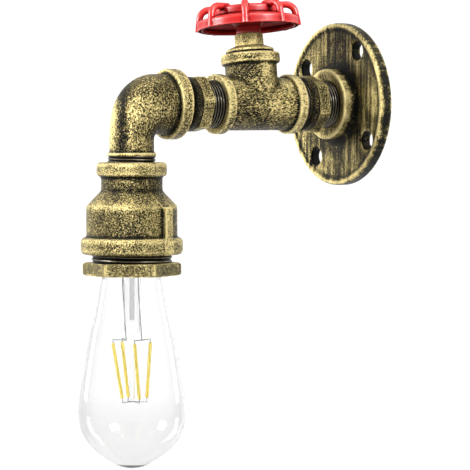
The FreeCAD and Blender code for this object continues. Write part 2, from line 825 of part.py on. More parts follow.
def make_bell():
    """Reducing socket: a beaded neck, an S-shaped shoulder and a beaded skirt with two cast ribs."""
    body = new_body("reducing_socket", "drop")
    bead = "bell_bead"
    neck = "bell_neck_diameter / 2"
    skirt = "bell_body_diameter / 2"
    foot = "bell_foot"
    corners = [
        ("0", "bell_top"),
        (bead, "bell_top", "bell_bead_round"),
        (bead, "bell_bead_end", "bell_bead_round"),
        (neck, "bell_bead_end"),
        (neck, "bell_neck_end", "bell_neck_round"),
        (skirt, "bell_shoulder_end", "bell_shoulder_round"),
        (skirt, "bell_foot_top"),
        (foot, "bell_foot_top", "bell_foot_round"),
        (foot, "bell_end", "bell_foot_round"),
        ("0", "bell_end"),
    ]
    turned(body, "bell", corners)
    make_bell_ribs(body, foot)
    thread = "bushing_radius + thread_clearance"
    hollow = [
        ("0", "bell_top"),
        ("socket_radius", "bell_top"),
        ("socket_radius", "bell_socket_end"),
        ("bell_web_bore / 2", "bell_socket_end"),
        ("bell_web_bore / 2", "bell_web_end"),
        ("bell_chamber_diameter / 2", "bell_web_end"),
        ("bell_chamber_diameter / 2", "bell_seat"),
        ("bell_cavity_diameter / 2", "bell_seat"),
        ("bell_cavity_diameter / 2", "bell_thread_top"),
        (thread, "bell_thread_top"),
        (thread, "bell_end"),
        ("0", "bell_end"),
    ]
    revolve(body, "hollow", hollow, kind="Groove")
    sketch = new_sketch(body, "screw_hole", "XY_Plane", "bell_socket_end")
    draw_circle(sketch, "screw_diameter / 2 + thread_clearance", "0", "lug_reach")
    cut_down(body, "screw_hole", sketch, "bell_web_depth")
    return body


def make_bell_ribs(body, foot):
    """Two upright ribs on the skirt, flush with the bottom bead."""
    sketch = new_sketch(body, "ribs", "XY_Plane", "bell_shoulder_end")
    half_width = "bell_rib_width / 2"
    root = "bell_body_diameter / 2 - bell_foot_round"
    tip = foot + " - bell_rib_setback"
    for side in ("", "-"):
        along = (side + "cos(bell_rib_angle * 1deg)", side + "sin(bell_rib_angle * 1deg)")
        corners = []
        for reach, shift in ((root, "-"), (tip, "-"), (tip, ""), (root, "")):
            across = "%s * (%s) %s %s * (%s)" % (along[0], reach, "+" if shift else "-", half_width, along[1])
            up = "%s * (%s) %s %s * (%s)" % (along[1], reach, "-" if shift else "+", half_width, along[0])
            corners.append((across, up))
        add_loop(sketch, corners)
    grow(body, "ribs", sketch, "bell_body_length + 0.5 * bell_foot_height")
    slope = [
        ("bell_body_diameter / 2", "bell_shoulder_end - bell_rib_slope"),
        (foot + " + bell_rib_slope", "bell_shoulder_end - bell_rib_slope"),
        (foot + " + bell_rib_slope", "bell_shoulder_end + bell_rib_slope"),
    ]
    revolve(body, "rib_tops", slope, kind="Groove")


def add_loop(sketch, corners):
    """One more closed outline in a sketch that may hold others already."""
    first = sketch.GeometryCount
    count = len(corners)
    for index in range(count):
        start = spot(*corners[index])
        end = spot(*corners[(index + 1) % count])
        sketch.addGeometry(Part.LineSegment(start, end), False)
    for index in range(count):
        following = first + (index + 1) % count
        sketch.addConstraint(Sketcher.Constraint("Coincident", first + index, 2, following, 1))
        pin(sketch, first + index, 1, *corners[index])


def make_bushing():
    """Hexagon bushing: screwed into the bell, with a lip that carries the lampholder."""
    body = new_body("hex_bushing", "drop")
    corners = [
        ("bushing_bore / 2", "bushing_top"),
        ("bushing_radius - hex_chamfer", "bushing_top"),
        ("bushing_radius", "bushing_top + hex_chamfer"),
        ("bushing_radius", "bushing_end - hex_chamfer"),
        ("bushing_lip_bore / 2", "bushing_end - hex_chamfer"),
        ("bushing_lip_bore / 2", "holder_end"),
        ("bushing_bore / 2", "holder_end"),
    ]
    turned(body, "turned", corners)
    hexagon(body, "hex", "bushing_hex_flats", "bushing_hex_corner", "bushing_hex_top", "bushing_hex_height")
    bore = [
        ("0", "bushing_top"),
        ("bushing_bore / 2", "bushing_top"),
        ("bushing_bore / 2", "holder_end"),
        ("bushing_lip_bore / 2", "holder_end"),
        ("bushing_lip_bore / 2", "bushing_end"),
        ("0", "bushing_end"),
    ]
    revolve(body, "bore", bore, kind="Groove")
    return body


# ---------------------------------------------------------------- valve

def make_gasket():
    """Ring between the bonnet's collar and the branch."""
    body = new_body("bonnet_gasket", "valve")
    hole = "bonnet_thread_diameter / 2 + thread_clearance"
    turned(body, "ring", [
        (hole, "branch_height"),
        ("gasket_diameter / 2", "branch_height"),
        ("gasket_diameter / 2", "gasket_top"),
        (hole, "gasket_top"),
    ])
    return body


def make_bonnet():
    """Bonnet: screwed plug, round collar and neck, bored for the spindle and its packing."""
    body = new_body("valve_bonnet", "valve")
    thread = "bonnet_thread_diameter / 2"
    bottom = "branch_height - bonnet_thread_length"
    guide = "spindle_diameter / 2 + spindle_running_gap"
    turned(body, "plug", [
        (guide, bottom),
        (thread + " - hex_chamfer", bottom),
        (thread, bottom + " + hex_chamfer"),
        (thread, "gasket_top"),
        ("bonnet_collar_diameter / 2", "gasket_top"),
        ("bonnet_collar_diameter / 2", "bonnet_collar_top - bonnet_collar_bevel"),
        ("gland_hex_flats / sqrt(3) + bonnet_collar_bevel / 4", "bonnet_collar_top"),
        ("bonnet_neck_diameter / 2", "bonnet_collar_top"),
        ("bonnet_neck_diameter / 2", "bonnet_neck_top"),
        ("stuffing_radius", "bonnet_neck_top"),
        ("stuffing_radius", "spindle_collar_bottom"),
        (guide, "spindle_collar_bottom"),
    ])
    return body


def make_gland_nut():
    """Gland nut: a small hexagon screwed over the bonnet's neck."""
    body = new_body("gland_nut", "valve")
    hexagon(body, "hex", "gland_hex_flats", "gland_corner", "bonnet_collar_top", "gland_height")
    inside = "bonnet_neck_diameter / 2 + thread_clearance"
    spindle = "spindle_diameter / 2 + spindle_running_gap"
    revolve(body, "bore", [
        ("0", "bonnet_collar_top"),
        (inside, "bonnet_collar_top"),
        (inside, "gland_roof_bottom"),
        (spindle, "gland_roof_bottom"),
        (spindle, "gland_top"),
        ("0", "gland_top"),
    ], kind="Groove")
    return body


def make_packing():
    """Packing ring between the spindle's collar and the gland nut."""
    body = new_body("gland_packing", "valve")
    inner = "spindle_diameter / 2 + spindle_running_gap"
    outer = "stuffing_radius - packing_gap"
    low = "spindle_collar_top + packing_gap"
    turned(body, "ring", [
        (inner, low),
        (outer, low),
        (outer, "gland_roof_bottom"),
        (inner, "gland_roof_bottom"),
    ])
    return body


def make_spindle():
    """Spindle that turns without rising: collar, square for the wheel and threaded end."""
    body = new_body("valve_stem", "valve")
    radius = "spindle_diameter / 2"
    turned(body, "spindle", [
        ("0", "spindle_bottom"),
        (radius + " - hex_chamfer", "spindle_bottom"),
        (radius, "spindle_bottom + hex_chamfer"),
        (radius, "spindle_collar_bottom + spindle_running_gap"),
        ("spindle_collar_diameter / 2", "spindle_collar_bottom + spindle_running_gap"),
        ("spindle_collar_diameter / 2", "spindle_collar_top"),
        (radius, "spindle_collar_top"),
        (radius, "wheel_base - 0.5 * wheel_gap"),
        ("spindle_end_diameter / 2", "wheel_base - 0.5 * wheel_gap"),
        ("spindle_end_diameter / 2", "spindle_end - hex_chamfer"),
        ("spindle_end_diameter / 2 - hex_chamfer", "spindle_end"),
        ("0", "spindle_end"),
    ])
    half = "spindle_square / 2"
    sketch = new_sketch(body, "square", "XY_Plane", "wheel_base - 0.5 * wheel_gap")
    draw_outline(sketch, box_corners("-" + half, half, "-" + half, half))
    grow(body, "square", sketch, "well_floor - wheel_base")
    return body


def make_wheel():
    """Cast handwheel: flared hub, dished web, skirt, crown and arched ribs round the rim."""
    body = new_body("handwheel", "valve")
    hub = "wheel_hub_diameter / 2"
    skirt = "wheel_skirt_diameter / 2"
    skirt_inner = skirt + " - wheel_skirt_wall"
    crown = "wheel_crown_diameter / 2"
    well = "wheel_well_diameter / 2"
    corners = [
        ("0", "wheel_base"),
        (hub, "wheel_base"),
        (hub, "skirt_bottom + 0.5 * wheel_web_thickness", "0.5 * wheel_hub_flare"),
        (hub + " + wheel_hub_flare", "skirt_top + wheel_web_rise - wheel_web_thickness"),
        (crown, "skirt_top + wheel_web_rise - wheel_web_thickness"),
        (skirt_inner, "skirt_top - wheel_web_thickness"),
        (skirt_inner, "skirt_bottom"),
        (skirt, "skirt_bottom"),
        (skirt, "skirt_top", "0.5 * wheel_skirt_wall"),
        (skirt_inner, "skirt_top + 0.3 * wheel_web_rise"),
        (crown, "web_inner_top"),
        (crown, "crown_top", "wheel_crown_round"),
        (well, "crown_top", "0.5 * wheel_crown_round"),
        (well, "well_floor"),
        ("0", "well_floor"),
    ]
    turned(body, "dish", corners)
    rib = add_rib(body)
    repeat(body, "ribs", rib, "wheel_rib_count")
    half = "spindle_square / 2 + spindle_running_gap"
    sketch = new_sketch(body, "square", "XY_Plane", "wheel_base")
    draw_outline(sketch, box_corners("-(%s)" % half, half, "-(%s)" % half, half))
    cut_down(body, "square", sketch, "wheel_crown_height")
    return body


def add_rib(body):
    """One arched rib: it rises up the skirt, bends over and runs in to the crown."""
    foot = spot("rib_foot", "skirt_bottom")
    bend = number("wheel_rib_bend")
    spring = spot("rib_foot - wheel_rib_lean", "rib_axis_top - wheel_rib_bend")
    middle = FreeCAD.Vector(spring.x - bend, spring.y, 0)
    inner = FreeCAD.Vector(middle.x, middle.y + bend, 0)
    arc, near_end = corner_arc(middle, spring, inner)
    sketch = new_sketch(body, "rib_path")
    turn = FreeCAD.Rotation(ALONG_ARM, number("wheel_rib_angle"))
    sketch.AttachmentOffset = FreeCAD.Placement(CENTRE, turn)
    sketch.setExpression("AttachmentOffset.Rotation.Angle", bound("wheel_rib_angle * 1deg"))
    sketch.addGeometry(Part.LineSegment(foot, spring), False)
    sketch.addGeometry(arc, False)
    sketch.addGeometry(Part.LineSegment(inner, spot("wheel_rib_reach", "rib_axis_top")), False)
    join_path(sketch, near_end)
    sketch.addConstraint(Sketcher.Constraint("Horizontal", 2))
    pin(sketch, 0, 1, "rib_foot", "skirt_bottom")
    pin(sketch, 2, 2, "wheel_rib_reach", "rib_axis_top")
    hold(sketch, "Radius", "wheel_rib_bend", 1)
    hold(sketch, "DistanceX", "rib_foot - wheel_rib_lean", -1, 1, 0, 2)
    section = new_sketch(body, "rib_section", "XY_Plane", "skirt_bottom")
    angle = "wheel_rib_angle * 1deg"
    draw_circle(section, "wheel_rib_diameter / 2", "rib_foot * cos(%s)" % angle, "rib_foot * sin(%s)" % angle)
    pipe = body.newObject("PartDesign::AdditivePipe", "handwheel_rib")
    pipe.Profile = section
    pipe.Spine = sketch
    doc.recompute()
    return pipe


def make_wheel_washer():
    """Washer under the wheel's nut."""
    body = new_body("wheel_washer", "valve")
    hole = "spindle_end_diameter / 2 + spindle_running_gap"
    turned(body, "ring", [
        (hole, "well_floor"),
        ("wheel_washer_diameter / 2", "well_floor"),
        ("wheel_washer_diameter / 2", "wheel_nut_bottom"),
        (hole, "wheel_nut_bottom"),
    ])
    return body


def make_wheel_nut():
    """Nut on the spindle's threaded end."""
    body = new_body("wheel_nut", "valve")
    hexagon(body, "hex", "wheel_nut_flats", "gland_corner", "wheel_nut_bottom", "wheel_nut_height")
    hole = "spindle_end_diameter / 2 + spindle_running_gap"
    top = "wheel_nut_bottom + wheel_nut_height"
    revolve(body, "bore", [("0", "wheel_nut_bottom"), (hole, "wheel_nut_bottom"), (hole, top), ("0", top)],
            kind="Groove")
    return body


# ---------------------------------------------------------------- lampholder

def make_holder_washer():
    """Ring between the bell's inner shoulder and the lampholder."""
    body = new_body("holder_washer", "drop")
    turned(body, "ring", [
        ("holder_washer_bore / 2", "bell_seat"),
        ("holder_diameter / 2", "bell_seat"),
        ("holder_diameter / 2", "holder_top"),
        ("holder_washer_bore / 2", "holder_top"),
    ])
    return body


def make_holder():
    """Porcelain lampholder: a terminal well on top, a floor, and the socket with its open mouth."""
    body = new_body("lampholder_body", "drop")
    outer = "holder_diameter / 2"
    shell = "shell_radius + shell_clearance"
    turned(body, "porcelain", [
        ("0", "holder_terminal_floor"),
        ("holder_terminal_bore / 2", "holder_terminal_floor"),
        ("holder_terminal_bore / 2", "holder_top"),
        (outer, "holder_top"),
        (outer, "holder_end", "holder_rim_round"),
        ("holder_mouth_diameter / 2", "holder_end"),
        ("holder_mouth_diameter / 2", "holder_mouth_top"),
        (shell, "holder_mouth_top"),
        (shell, "holder_floor_end"),
        ("0", "holder_floor_end"),
    ])
    rivet = new_sketch(body, "rivet_hole", "XY_Plane", "holder_terminal_floor")
    draw_circle(rivet, "screw_diameter / 2 + thread_clearance", "-wire_side", "0")
    cut_down(body, "rivet_hole", rivet, "holder_floor")
    slot = new_sketch(body, "tail_slot", "XY_Plane", "holder_terminal_floor")
    half = "tail_width / 2 + shell_clearance"
    outer_side = "shell_radius + shell_clearance"
    inner_side = "shell_bore / 2 - tail_thickness - shell_clearance"
    draw_outline(slot, box_corners(inner_side, outer_side, "-(%s)" % half, half))
    cut_down(body, "tail_slot", slot, "holder_floor")
    return body


def make_shell():
    """Brass screw shell with its pierced floor open to the centre contact."""
    body = new_body("screw_shell", "drop")
    turned(body, "shell", [
        ("shell_bore / 2", "holder_floor_end"),
        ("shell_radius", "holder_floor_end"),
        ("shell_radius", "holder_mouth_top"),
        ("shell_bore / 2", "holder_mouth_top"),
    ])
    return body


def terminal_block(body, name, centre):
    """A brass block with a hole for the wire and one for its screw."""
    half = "terminal_width / 2"
    sketch = new_sketch(body, name, "XY_Plane", "terminal_top")
    draw_outline(sketch, box_corners("%s - %s" % (centre, half), "%s + %s" % (centre, half), "-" + half, half))
    grow(body, name, sketch, "terminal_height")
    hole = new_sketch(body, name + "_hole", "XY_Plane", "terminal_top")
    draw_circle(hole, "wire_radius + terminal_wall_gap", centre, "0")
    cut_down(body, name + "_hole", hole, "terminal_height - 0.5 * terminal_wall_gap")
    thread = new_sketch(body, name + "_thread", "XZ_Plane")
    draw_circle(thread, "screw_diameter / 2 + thread_clearance", centre, "terminal_top + terminal_height / 2")
    cut_down(body, name + "_thread", thread, half)


def make_live_terminal():
    """Live terminal: its block, and the rivet that goes through the holder's floor."""
    body = new_body("live_terminal", "drop")
    terminal_block(body, "block", "-wire_side")
    rivet = new_sketch(body, "rivet", "XY_Plane", "holder_terminal_floor")
    draw_circle(rivet, "screw_diameter / 2", "-wire_side", "0")
    grow(body, "rivet", rivet, "holder_floor")
    return body


def make_neutral_terminal():
    """Neutral terminal: its block, a strip along the floor and a tail down to the shell."""
    body = new_body("neutral_terminal", "drop")
    terminal_block(body, "block", "wire_side")
    half = "tail_width / 2"
    outer = "shell_bore / 2"
    strip = new_sketch(body, "strip", "XY_Plane", "holder_terminal_floor - tail_thickness")
    draw_outline(strip, box_corners("wire_side + terminal_width / 2 - terminal_wall_gap", outer + " + shell_wall",
                                    "-" + half, half))
    grow(body, "strip", strip, "tail_thickness")
    tail = new_sketch(body, "tail", "XY_Plane", "holder_terminal_floor - tail_thickness")
    draw_outline(tail, box_corners(outer + " - tail_thickness", outer + " + shell_wall", "-" + half, half))
    grow(body, "tail", tail, "tail_thickness + holder_floor")
    return body


def make_centre_contact():
    """Sprung leaf: flat under the rivet, then stepped down to meet the bulb's contact."""
    body = new_body("centre_contact", "drop")
    sketch = new_sketch(body, "leaf", "XZ_Plane", "-tail_width")
    left = "-(wire_side + tail_width)"
    knee = "-(wire_side - tail_width)"
    right = "contact_diameter / 2"
    draw_outline(sketch, [
        (left, "holder_floor_end"),
        (knee, "holder_floor_end"),
        (knee + " + tail_width", "leaf_end - leaf_thickness"),
        (right, "leaf_end - leaf_thickness"),
        (right, "leaf_end"),
        (knee + " + tail_width - leaf_thickness / 2", "leaf_end"),
        (knee + " - leaf_thickness / 2", "holder_floor_end + leaf_thickness"),
        (left, "holder_floor_end + leaf_thickness"),
    ])
    grow(body, "leaf", sketch, "2 * tail_width")
    return body


def make_screw(name, length, placement):
    """A cheese-head screw, head at the bottom and shank upwards."""
    head = Part.makeCylinder(number("screw_head_diameter / 2"), number("screw_head_height"))
    shank = Part.makeCylinder(number("screw_diameter / 2"), number(length + " + screw_head_height"))
    slot_width = number("leaf_thickness") * 1.5
    slot = Part.makeBox(number("screw_head_diameter"), slot_width, number("screw_head_height") / 2)
    slot.translate(FreeCAD.Vector(-number("screw_head_diameter / 2"), -slot_width / 2, 0))
    screw = head.fuse(shank).cut(slot).removeSplitter()
    screw.Placement = placement
    return screw


def make_terminal_screws():
    """The two screws that clamp the wires, one in each block."""
    screws = []
    level = -number("terminal_top + terminal_height / 2")
    face = number("terminal_width / 2 + screw_head_height")
    for side in (-1, 1):
        base = FreeCAD.Vector(side * number("wire_side"), face, level)
        turn = FreeCAD.Rotation(ACROSS, QUARTER_TURN)
        screws.append(make_screw("terminal_screw", "terminal_width / 2 - wire_radius - 2 * terminal_wall_gap",
                                 FreeCAD.Placement(base, turn)))
    return formed("terminal_screws", Part.makeCompound(screws))


def make_earth_lug():
    """Earth lug: a ring under the screw, a strap and an upright barrel for the wire."""
    body = new_body("earth_lug", "drop")
    ring = new_sketch(body, "ring", "XY_Plane", "bell_web_end")
    draw_circle(ring, "lug_diameter / 2", "0", "lug_reach")
    grow(body, "ring", ring, "lug_thickness")
    half = "lug_barrel_diameter / 2"
    strap = new_sketch(body, "strap", "XY_Plane", "bell_web_end")
    draw_outline(strap, box_corners("-" + half, half, "earth_wire_rise", "lug_reach"))
    grow(body, "strap", strap, "lug_thickness")
    barrel = new_sketch(body, "barrel", "XY_Plane", "bell_web_end - lug_barrel_height")
    draw_circle(barrel, half, "0", "earth_wire_rise")
    grow(body, "barrel", barrel, "lug_barrel_height + lug_thickness")
    hole = new_sketch(body, "screw_hole", "XY_Plane", "bell_web_end")
    draw_circle(hole, "screw_diameter / 2 + thread_clearance", "0", "lug_reach")
    cut_down(body, "screw_hole", hole, "lug_thickness")
    crimp = new_sketch(body, "wire_hole", "XY_Plane", "bell_web_end - lug_barrel_height")
    draw_circle(crimp, "wire_radius + thread_clearance", "0", "earth_wire_rise")
    cut_down(body, "wire_hole", crimp, "lug_barrel_height")
    return body


def make_earth_screw():
    """Screw that holds the lug against the bell's inner web."""
    base = FreeCAD.Vector(0, -number("drop_axis + lug_reach"),
                          -number("bell_web_end + lug_thickness + screw_head_height"))
    screw = make_screw("earth_screw", "earth_screw_length", FreeCAD.Placement(base, FreeCAD.Rotation()))
    return formed("earth_screw", screw, at_drop=False)


# ---------------------------------------------------------------- wiring

def make_wire(label, side, rise, end):
    """One insulated wire, from the flange's back through every fitting to its terminal."""
    body = new_body(label, "bend")
    start = "drop_axis - wire_wall_gap"
    path = (start, "elbow_bore_bend + (%s)" % rise, "-(%s)" % rise, rise, "-(%s)" % end)
    sweep(body, "run", "XZ_Plane", "-(%s)" % start, "wire_radius", (side, rise), path, path_offset=side)
    return body


# ---------------------------------------------------------------- bulb

def make_cap():
    """Screw cap: a pressed brass shell with a shoulder and a short skirt."""
    body = new_body("bulb_cap", "drop")
    neck = "cap_neck_diameter / 2"
    outer = "cap_diameter / 2"
    skirt = "cap_skirt_diameter / 2"
    shoulder = "contact_top + cap_shoulder"
    turned(body, "cap", [
        (neck, "cap_top + contact_height"),
        (outer, shoulder, "cap_wall"),
        (outer, "cap_end - cap_wall * 2"),
        (skirt, "cap_end"),
        (skirt + " - cap_wall", "cap_end"),
        (outer + " - cap_wall", "cap_end - cap_wall * 3"),
        (outer + " - cap_wall", shoulder + " + cap_wall"),
        (neck, "cap_top + contact_height + cap_wall"),
    ])
    return body


def make_insulator():
    """Glass insulator that closes the cap round its centre contact."""
    body = new_body("bulb_insulator", "drop")
    outer = "cap_neck_diameter / 2 - cap_seat_gap"
    turned(body, "cone", [
        ("0", "cap_top"),
        ("contact_diameter / 2", "cap_top"),
        (outer, "cap_top + contact_height"),
        (outer, "cap_top + 2 * contact_height"),
        ("0", "cap_top + 2 * contact_height"),
    ])
    return body


def make_contact():
    """Soldered centre contact."""
    body = new_body("bulb_contact", "drop")
    turned(body, "disc", [
        ("0", "contact_top"),
        ("contact_diameter / 2 - cap_wall", "contact_top"),
        ("contact_diameter / 2", "contact_top + cap_wall"),
        ("contact_diameter / 2", "contact_end"),
        ("0", "contact_end"),
    ])
    return body


def formed(label, shape, at_drop=True):
    """A piece whose surface is made by the script itself, in the row frame or hung on the bulb's axis."""
    piece = doc.addObject("Part::Feature", label)
    piece.Label = label
    piece.Shape = shape
    if at_drop:
        piece.Placement = FreeCAD.Placement(FreeCAD.Vector(0, -number("drop_axis"), 0), FreeCAD.Rotation())
    return piece


def drop_point(diameter, depth):
    """A point of a turned outline on the bulb's axis, Z pointing up."""
    return FreeCAD.Vector(diameter / 2, 0, -depth)


def tip_arc(start, tip):
    """The round end of a bulb: an arc about the axis, from a point beside it down to the tip."""
    rise = start.z - tip.z
    radius = (start.x ** 2 + rise ** 2) / (2 * rise)
    half = math.asin(start.x / radius) / 2
    middle = FreeCAD.Vector(radius * math.sin(half), 0, tip.z + radius * (1 - math.cos(half)))
    return Part.Arc(start, middle, tip).toShape()


def glass_side(inset):
    """One side of the glass: its outline from the neck to the tip, set in from the outside."""
    top = number("glass_start")
    points = [drop_point(number("glass_neck_diameter") - 2 * inset, top)]
    for name in GLASS_STATIONS:
        diameter = number("glass_%s_diameter" % name) - 2 * inset
        points.append(drop_point(diameter, top + number("glass_%s_drop" % name)))
    curve = Part.BSplineCurve()
    curve.interpolate(points)
    tip = drop_point(0, top + number("glass_length") - inset)
    return points[0], tip, [curve.toShape(), tip_arc(points[-1], tip)]


def make_glass():
    """Blown bulb: a thin wall turned from a smooth outline through its named diameters."""
    rise = FreeCAD.Vector(0, 0, number("glass_neck_length"))
    outer_start, outer_tip, outer = glass_side(0)
    inner_start, inner_tip, inner = glass_side(number("glass_wall"))
    edges = outer + inner + [
        Part.makeLine(outer_tip, inner_tip),
        Part.makeLine(outer_start, outer_start + rise),
        Part.makeLine(outer_start + rise, inner_start + rise),
        Part.makeLine(inner_start + rise, inner_start),
    ]
    face = Part.Face(Part.Wire(Part.__sortEdges__(edges)))
    return formed("bulb_glass", face.revolve(CENTRE, VERTICAL, FULL_TURN))


def make_stem():
    """Glass stem: flare sealed to the neck, tube, pinch and rod."""
    body = new_body("bulb_stem", "drop")
    flare_top = "glass_start - glass_neck_length"
    flare = "glass_neck_diameter / 2 - glass_wall"
    tube = "stem_tube_diameter / 2"
    inner = "stem_tube_diameter / 2 - stem_tube_wall"
    rod = "stem_rod_diameter / 2"
    turned(body, "stem", [
        (flare, flare_top),
        (tube, "glass_start"),
        (tube, "glass_start + stem_tube_end"),
        (rod, "glass_start + stem_tube_end + stem_tube_wall"),
        (rod, "glass_start + stem_rod_end"),
        ("0", "glass_start + stem_rod_end"),
        ("0", "glass_start + stem_tube_end"),
        (inner, "glass_start + stem_tube_end - stem_tube_wall"),
        (inner, "glass_start"),
        (flare + " - stem_tube_wall", flare_top),
    ])
    press = new_sketch(body, "press", "XY_Plane", "glass_start + stem_tube_end")
    draw_outline(press, press_corners())
    grow(body, "press", press, "stem_press_length")
    return body


def press_corners():
    """The corners of the flat press that closes the stem's tube, turned about the bulb's axis."""
    angle = "(-stem_press_angle) * 1deg"
    along = "stem_press_width / 2"
    across = "stem_press_thickness / 2"
    corners = []
    for first, second in (("", ""), ("-", ""), ("-", "-"), ("", "-")):
        x = "%s%s * cos(%s) - (%s%s) * sin(%s)" % (first, along, angle, second, across, angle)
        y = "%s%s * sin(%s) + (%s%s) * cos(%s)" % (first, along, angle, second, across, angle)
        corners.append((x, y))
    return corners


def filament_ends(index):
    """The upper and lower end of one filament."""
    count = number("filament_count")
    top_angle = math.radians(number("filament_start_angle") + index * FULL_TURN / count)
    low_angle = top_angle + math.radians(number("filament_twist"))
    ends = []
    for circle, drop, angle in (("filament_top_circle", "filament_top_drop", top_angle),
                                ("filament_bottom_circle", "filament_bottom_drop", low_angle)):
        radius = number(circle) / 2
        depth = number("glass_start + " + drop)
        ends.append(FreeCAD.Vector(radius * math.cos(angle), radius * math.sin(angle), -depth))
    return ends


def rod_between(start, end, diameter):
    """A straight round rod between two points."""
    along = end - start
    return Part.makeCylinder(diameter / 2, along.Length, start, along)


def make_filaments():
    """Four filaments that lean in towards the bottom of the rod."""
    rods = []
    for index in range(int(number("filament_count"))):
        upper, lower = filament_ends(index)
        rods.append(rod_between(upper, lower, number("filament_diameter")))
    return formed("bulb_filaments", Part.makeCompound(rods))


def make_supports():
    """Two leads below the stem's press, and the wires that hold each filament at both ends."""
    wire = number("support_wire_diameter")
    gap = number("support_wire_gap")
    press_angle = math.radians(number("stem_press_angle"))
    side = FreeCAD.Vector(math.cos(press_angle), math.sin(press_angle), 0)
    lead_top = FreeCAD.Vector(0, 0, -number("press_end + support_wire_gap"))
    lead_end = FreeCAD.Vector(0, 0, -number("lead_end"))
    wires = []
    for sign in (-1, 1):
        shift = side * sign * number("lead_spread / 2")
        wires.append(rod_between(lead_top + shift, lead_end + shift, wire))
    rod_tip = FreeCAD.Vector(0, 0, -number("glass_start + stem_rod_end") + wire)
    for index in range(int(number("filament_count"))):
        upper, lower = filament_ends(index)
        along = (lower - upper).normalize()
        sign = math.copysign(1, upper.dot(side))
        lead = lead_end + side * sign * number("lead_spread / 2")
        outward = FreeCAD.Vector(upper.x - lead.x, upper.y - lead.y, 0).normalize()
        wires.append(rod_between(lead + outward * (wire / 2 + gap), upper - along * (gap + wire), wire))
        outward = FreeCAD.Vector(lower.x, lower.y, 0).normalize()
        root = rod_tip + outward * (number("stem_rod_diameter / 2") + gap)
        wires.append(rod_between(root, lower + along * (gap + wire), wire))
    return formed("bulb_support_wires", Part.makeCompound(wires))


# ---------------------------------------------------------------- assembly and output

def make_parts():
    """Every sub-part of the lamp, from the wall to the bulb."""
    return [
        make_flange(),
        make_nipple("rear_nipple", "flange_height", "rear_long_thread", "rear_hex_corner"),
        make_tee(),
        make_nipple("front_nipple", "tee_end", "front_long_thread", "front_hex_corner"),
        make_elbow(),
        make_bell(),
        make_bushing(),
        make_gasket(),
        make_bonnet(),
        make_gland_nut(),
        make_packing(),
        make_spindle(),
        make_wheel(),
        make_wheel_washer(),
        make_wheel_nut(),
        make_holder_washer(),
        make_holder(),
        make_shell(),
        make_live_terminal(),
        make_neutral_terminal(),
        make_centre_contact(),
        make_terminal_screws(),
        make_earth_lug(),
        make_earth_screw(),
        make_wire("live_wire", "-wire_side", "0", "wire_end"),
        make_wire("neutral_wire", "wire_side", "0", "wire_end"),
        make_wire("earth_wire", "0", "earth_wire_rise", "bell_web_end - thread_clearance"),
        make_cap(),
        make_insulator(),
        make_contact(),
        make_glass(),
        make_stem(),
        make_filaments(),
        make_supports(),
    ]


def check_document():
    """Stops if any object of the document failed to build."""
    for item in doc.Objects:
        if "Invalid" in item.State or "Error" in item.State:
            raise ValueError("%s failed: %s" % (item.Name, item.State))


def write_parts(parts):
    """Writes each sub-part to its own file, after checking its shape."""
    os.makedirs("parts", exist_ok=True)
    for part in parts:
        if part.Shape.isNull() or not part.Shape.isValid():
            raise ValueError(part.Label + " has no valid shape")
    for part in parts:
        part.Shape.exportStep("parts/%s.step" % part.Label)


fill_sheets()
all_parts = make_parts()
doc.recompute()
check_document()
write_parts(all_parts)
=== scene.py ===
"""Looks of the industrial pipe wall light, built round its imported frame. Lengths are in metres."""
import bpy
import bmesh
import json
import math
import numpy as np
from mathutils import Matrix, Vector, noise as field


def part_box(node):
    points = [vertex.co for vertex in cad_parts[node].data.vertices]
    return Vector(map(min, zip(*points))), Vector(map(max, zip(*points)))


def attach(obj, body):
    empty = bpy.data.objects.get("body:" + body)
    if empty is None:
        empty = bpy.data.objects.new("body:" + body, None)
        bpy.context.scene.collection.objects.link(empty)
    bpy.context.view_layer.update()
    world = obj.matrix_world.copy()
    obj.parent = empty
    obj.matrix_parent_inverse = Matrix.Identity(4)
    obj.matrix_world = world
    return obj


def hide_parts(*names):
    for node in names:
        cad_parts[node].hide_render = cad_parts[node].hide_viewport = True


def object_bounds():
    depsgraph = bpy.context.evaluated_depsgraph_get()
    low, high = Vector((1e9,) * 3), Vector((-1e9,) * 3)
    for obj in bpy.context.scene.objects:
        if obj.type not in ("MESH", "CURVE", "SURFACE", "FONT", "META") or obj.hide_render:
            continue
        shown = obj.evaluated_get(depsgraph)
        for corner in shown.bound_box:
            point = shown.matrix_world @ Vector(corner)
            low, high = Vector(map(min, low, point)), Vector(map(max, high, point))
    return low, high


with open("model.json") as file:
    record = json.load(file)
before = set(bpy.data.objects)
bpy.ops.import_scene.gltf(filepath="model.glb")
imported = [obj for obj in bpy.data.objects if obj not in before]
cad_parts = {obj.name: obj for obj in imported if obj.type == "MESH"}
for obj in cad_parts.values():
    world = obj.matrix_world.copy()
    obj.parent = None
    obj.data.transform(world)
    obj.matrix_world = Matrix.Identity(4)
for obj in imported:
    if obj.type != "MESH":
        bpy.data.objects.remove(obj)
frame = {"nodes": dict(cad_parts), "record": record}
cad_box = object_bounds()
MM = 0.001
TAU = 2 * math.pi
ROUND = 144
Y, Z = 1, 2


# ---------------------------------------------------------------- places, in millimetres, from the frame

def low(node, axis):
    """A node's lowest reach along an axis, in millimetres."""
    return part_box(node)[0][axis] / MM


def high(node, axis):
    """A node's highest reach along an axis, in millimetres."""
    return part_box(node)[1][axis] / MM


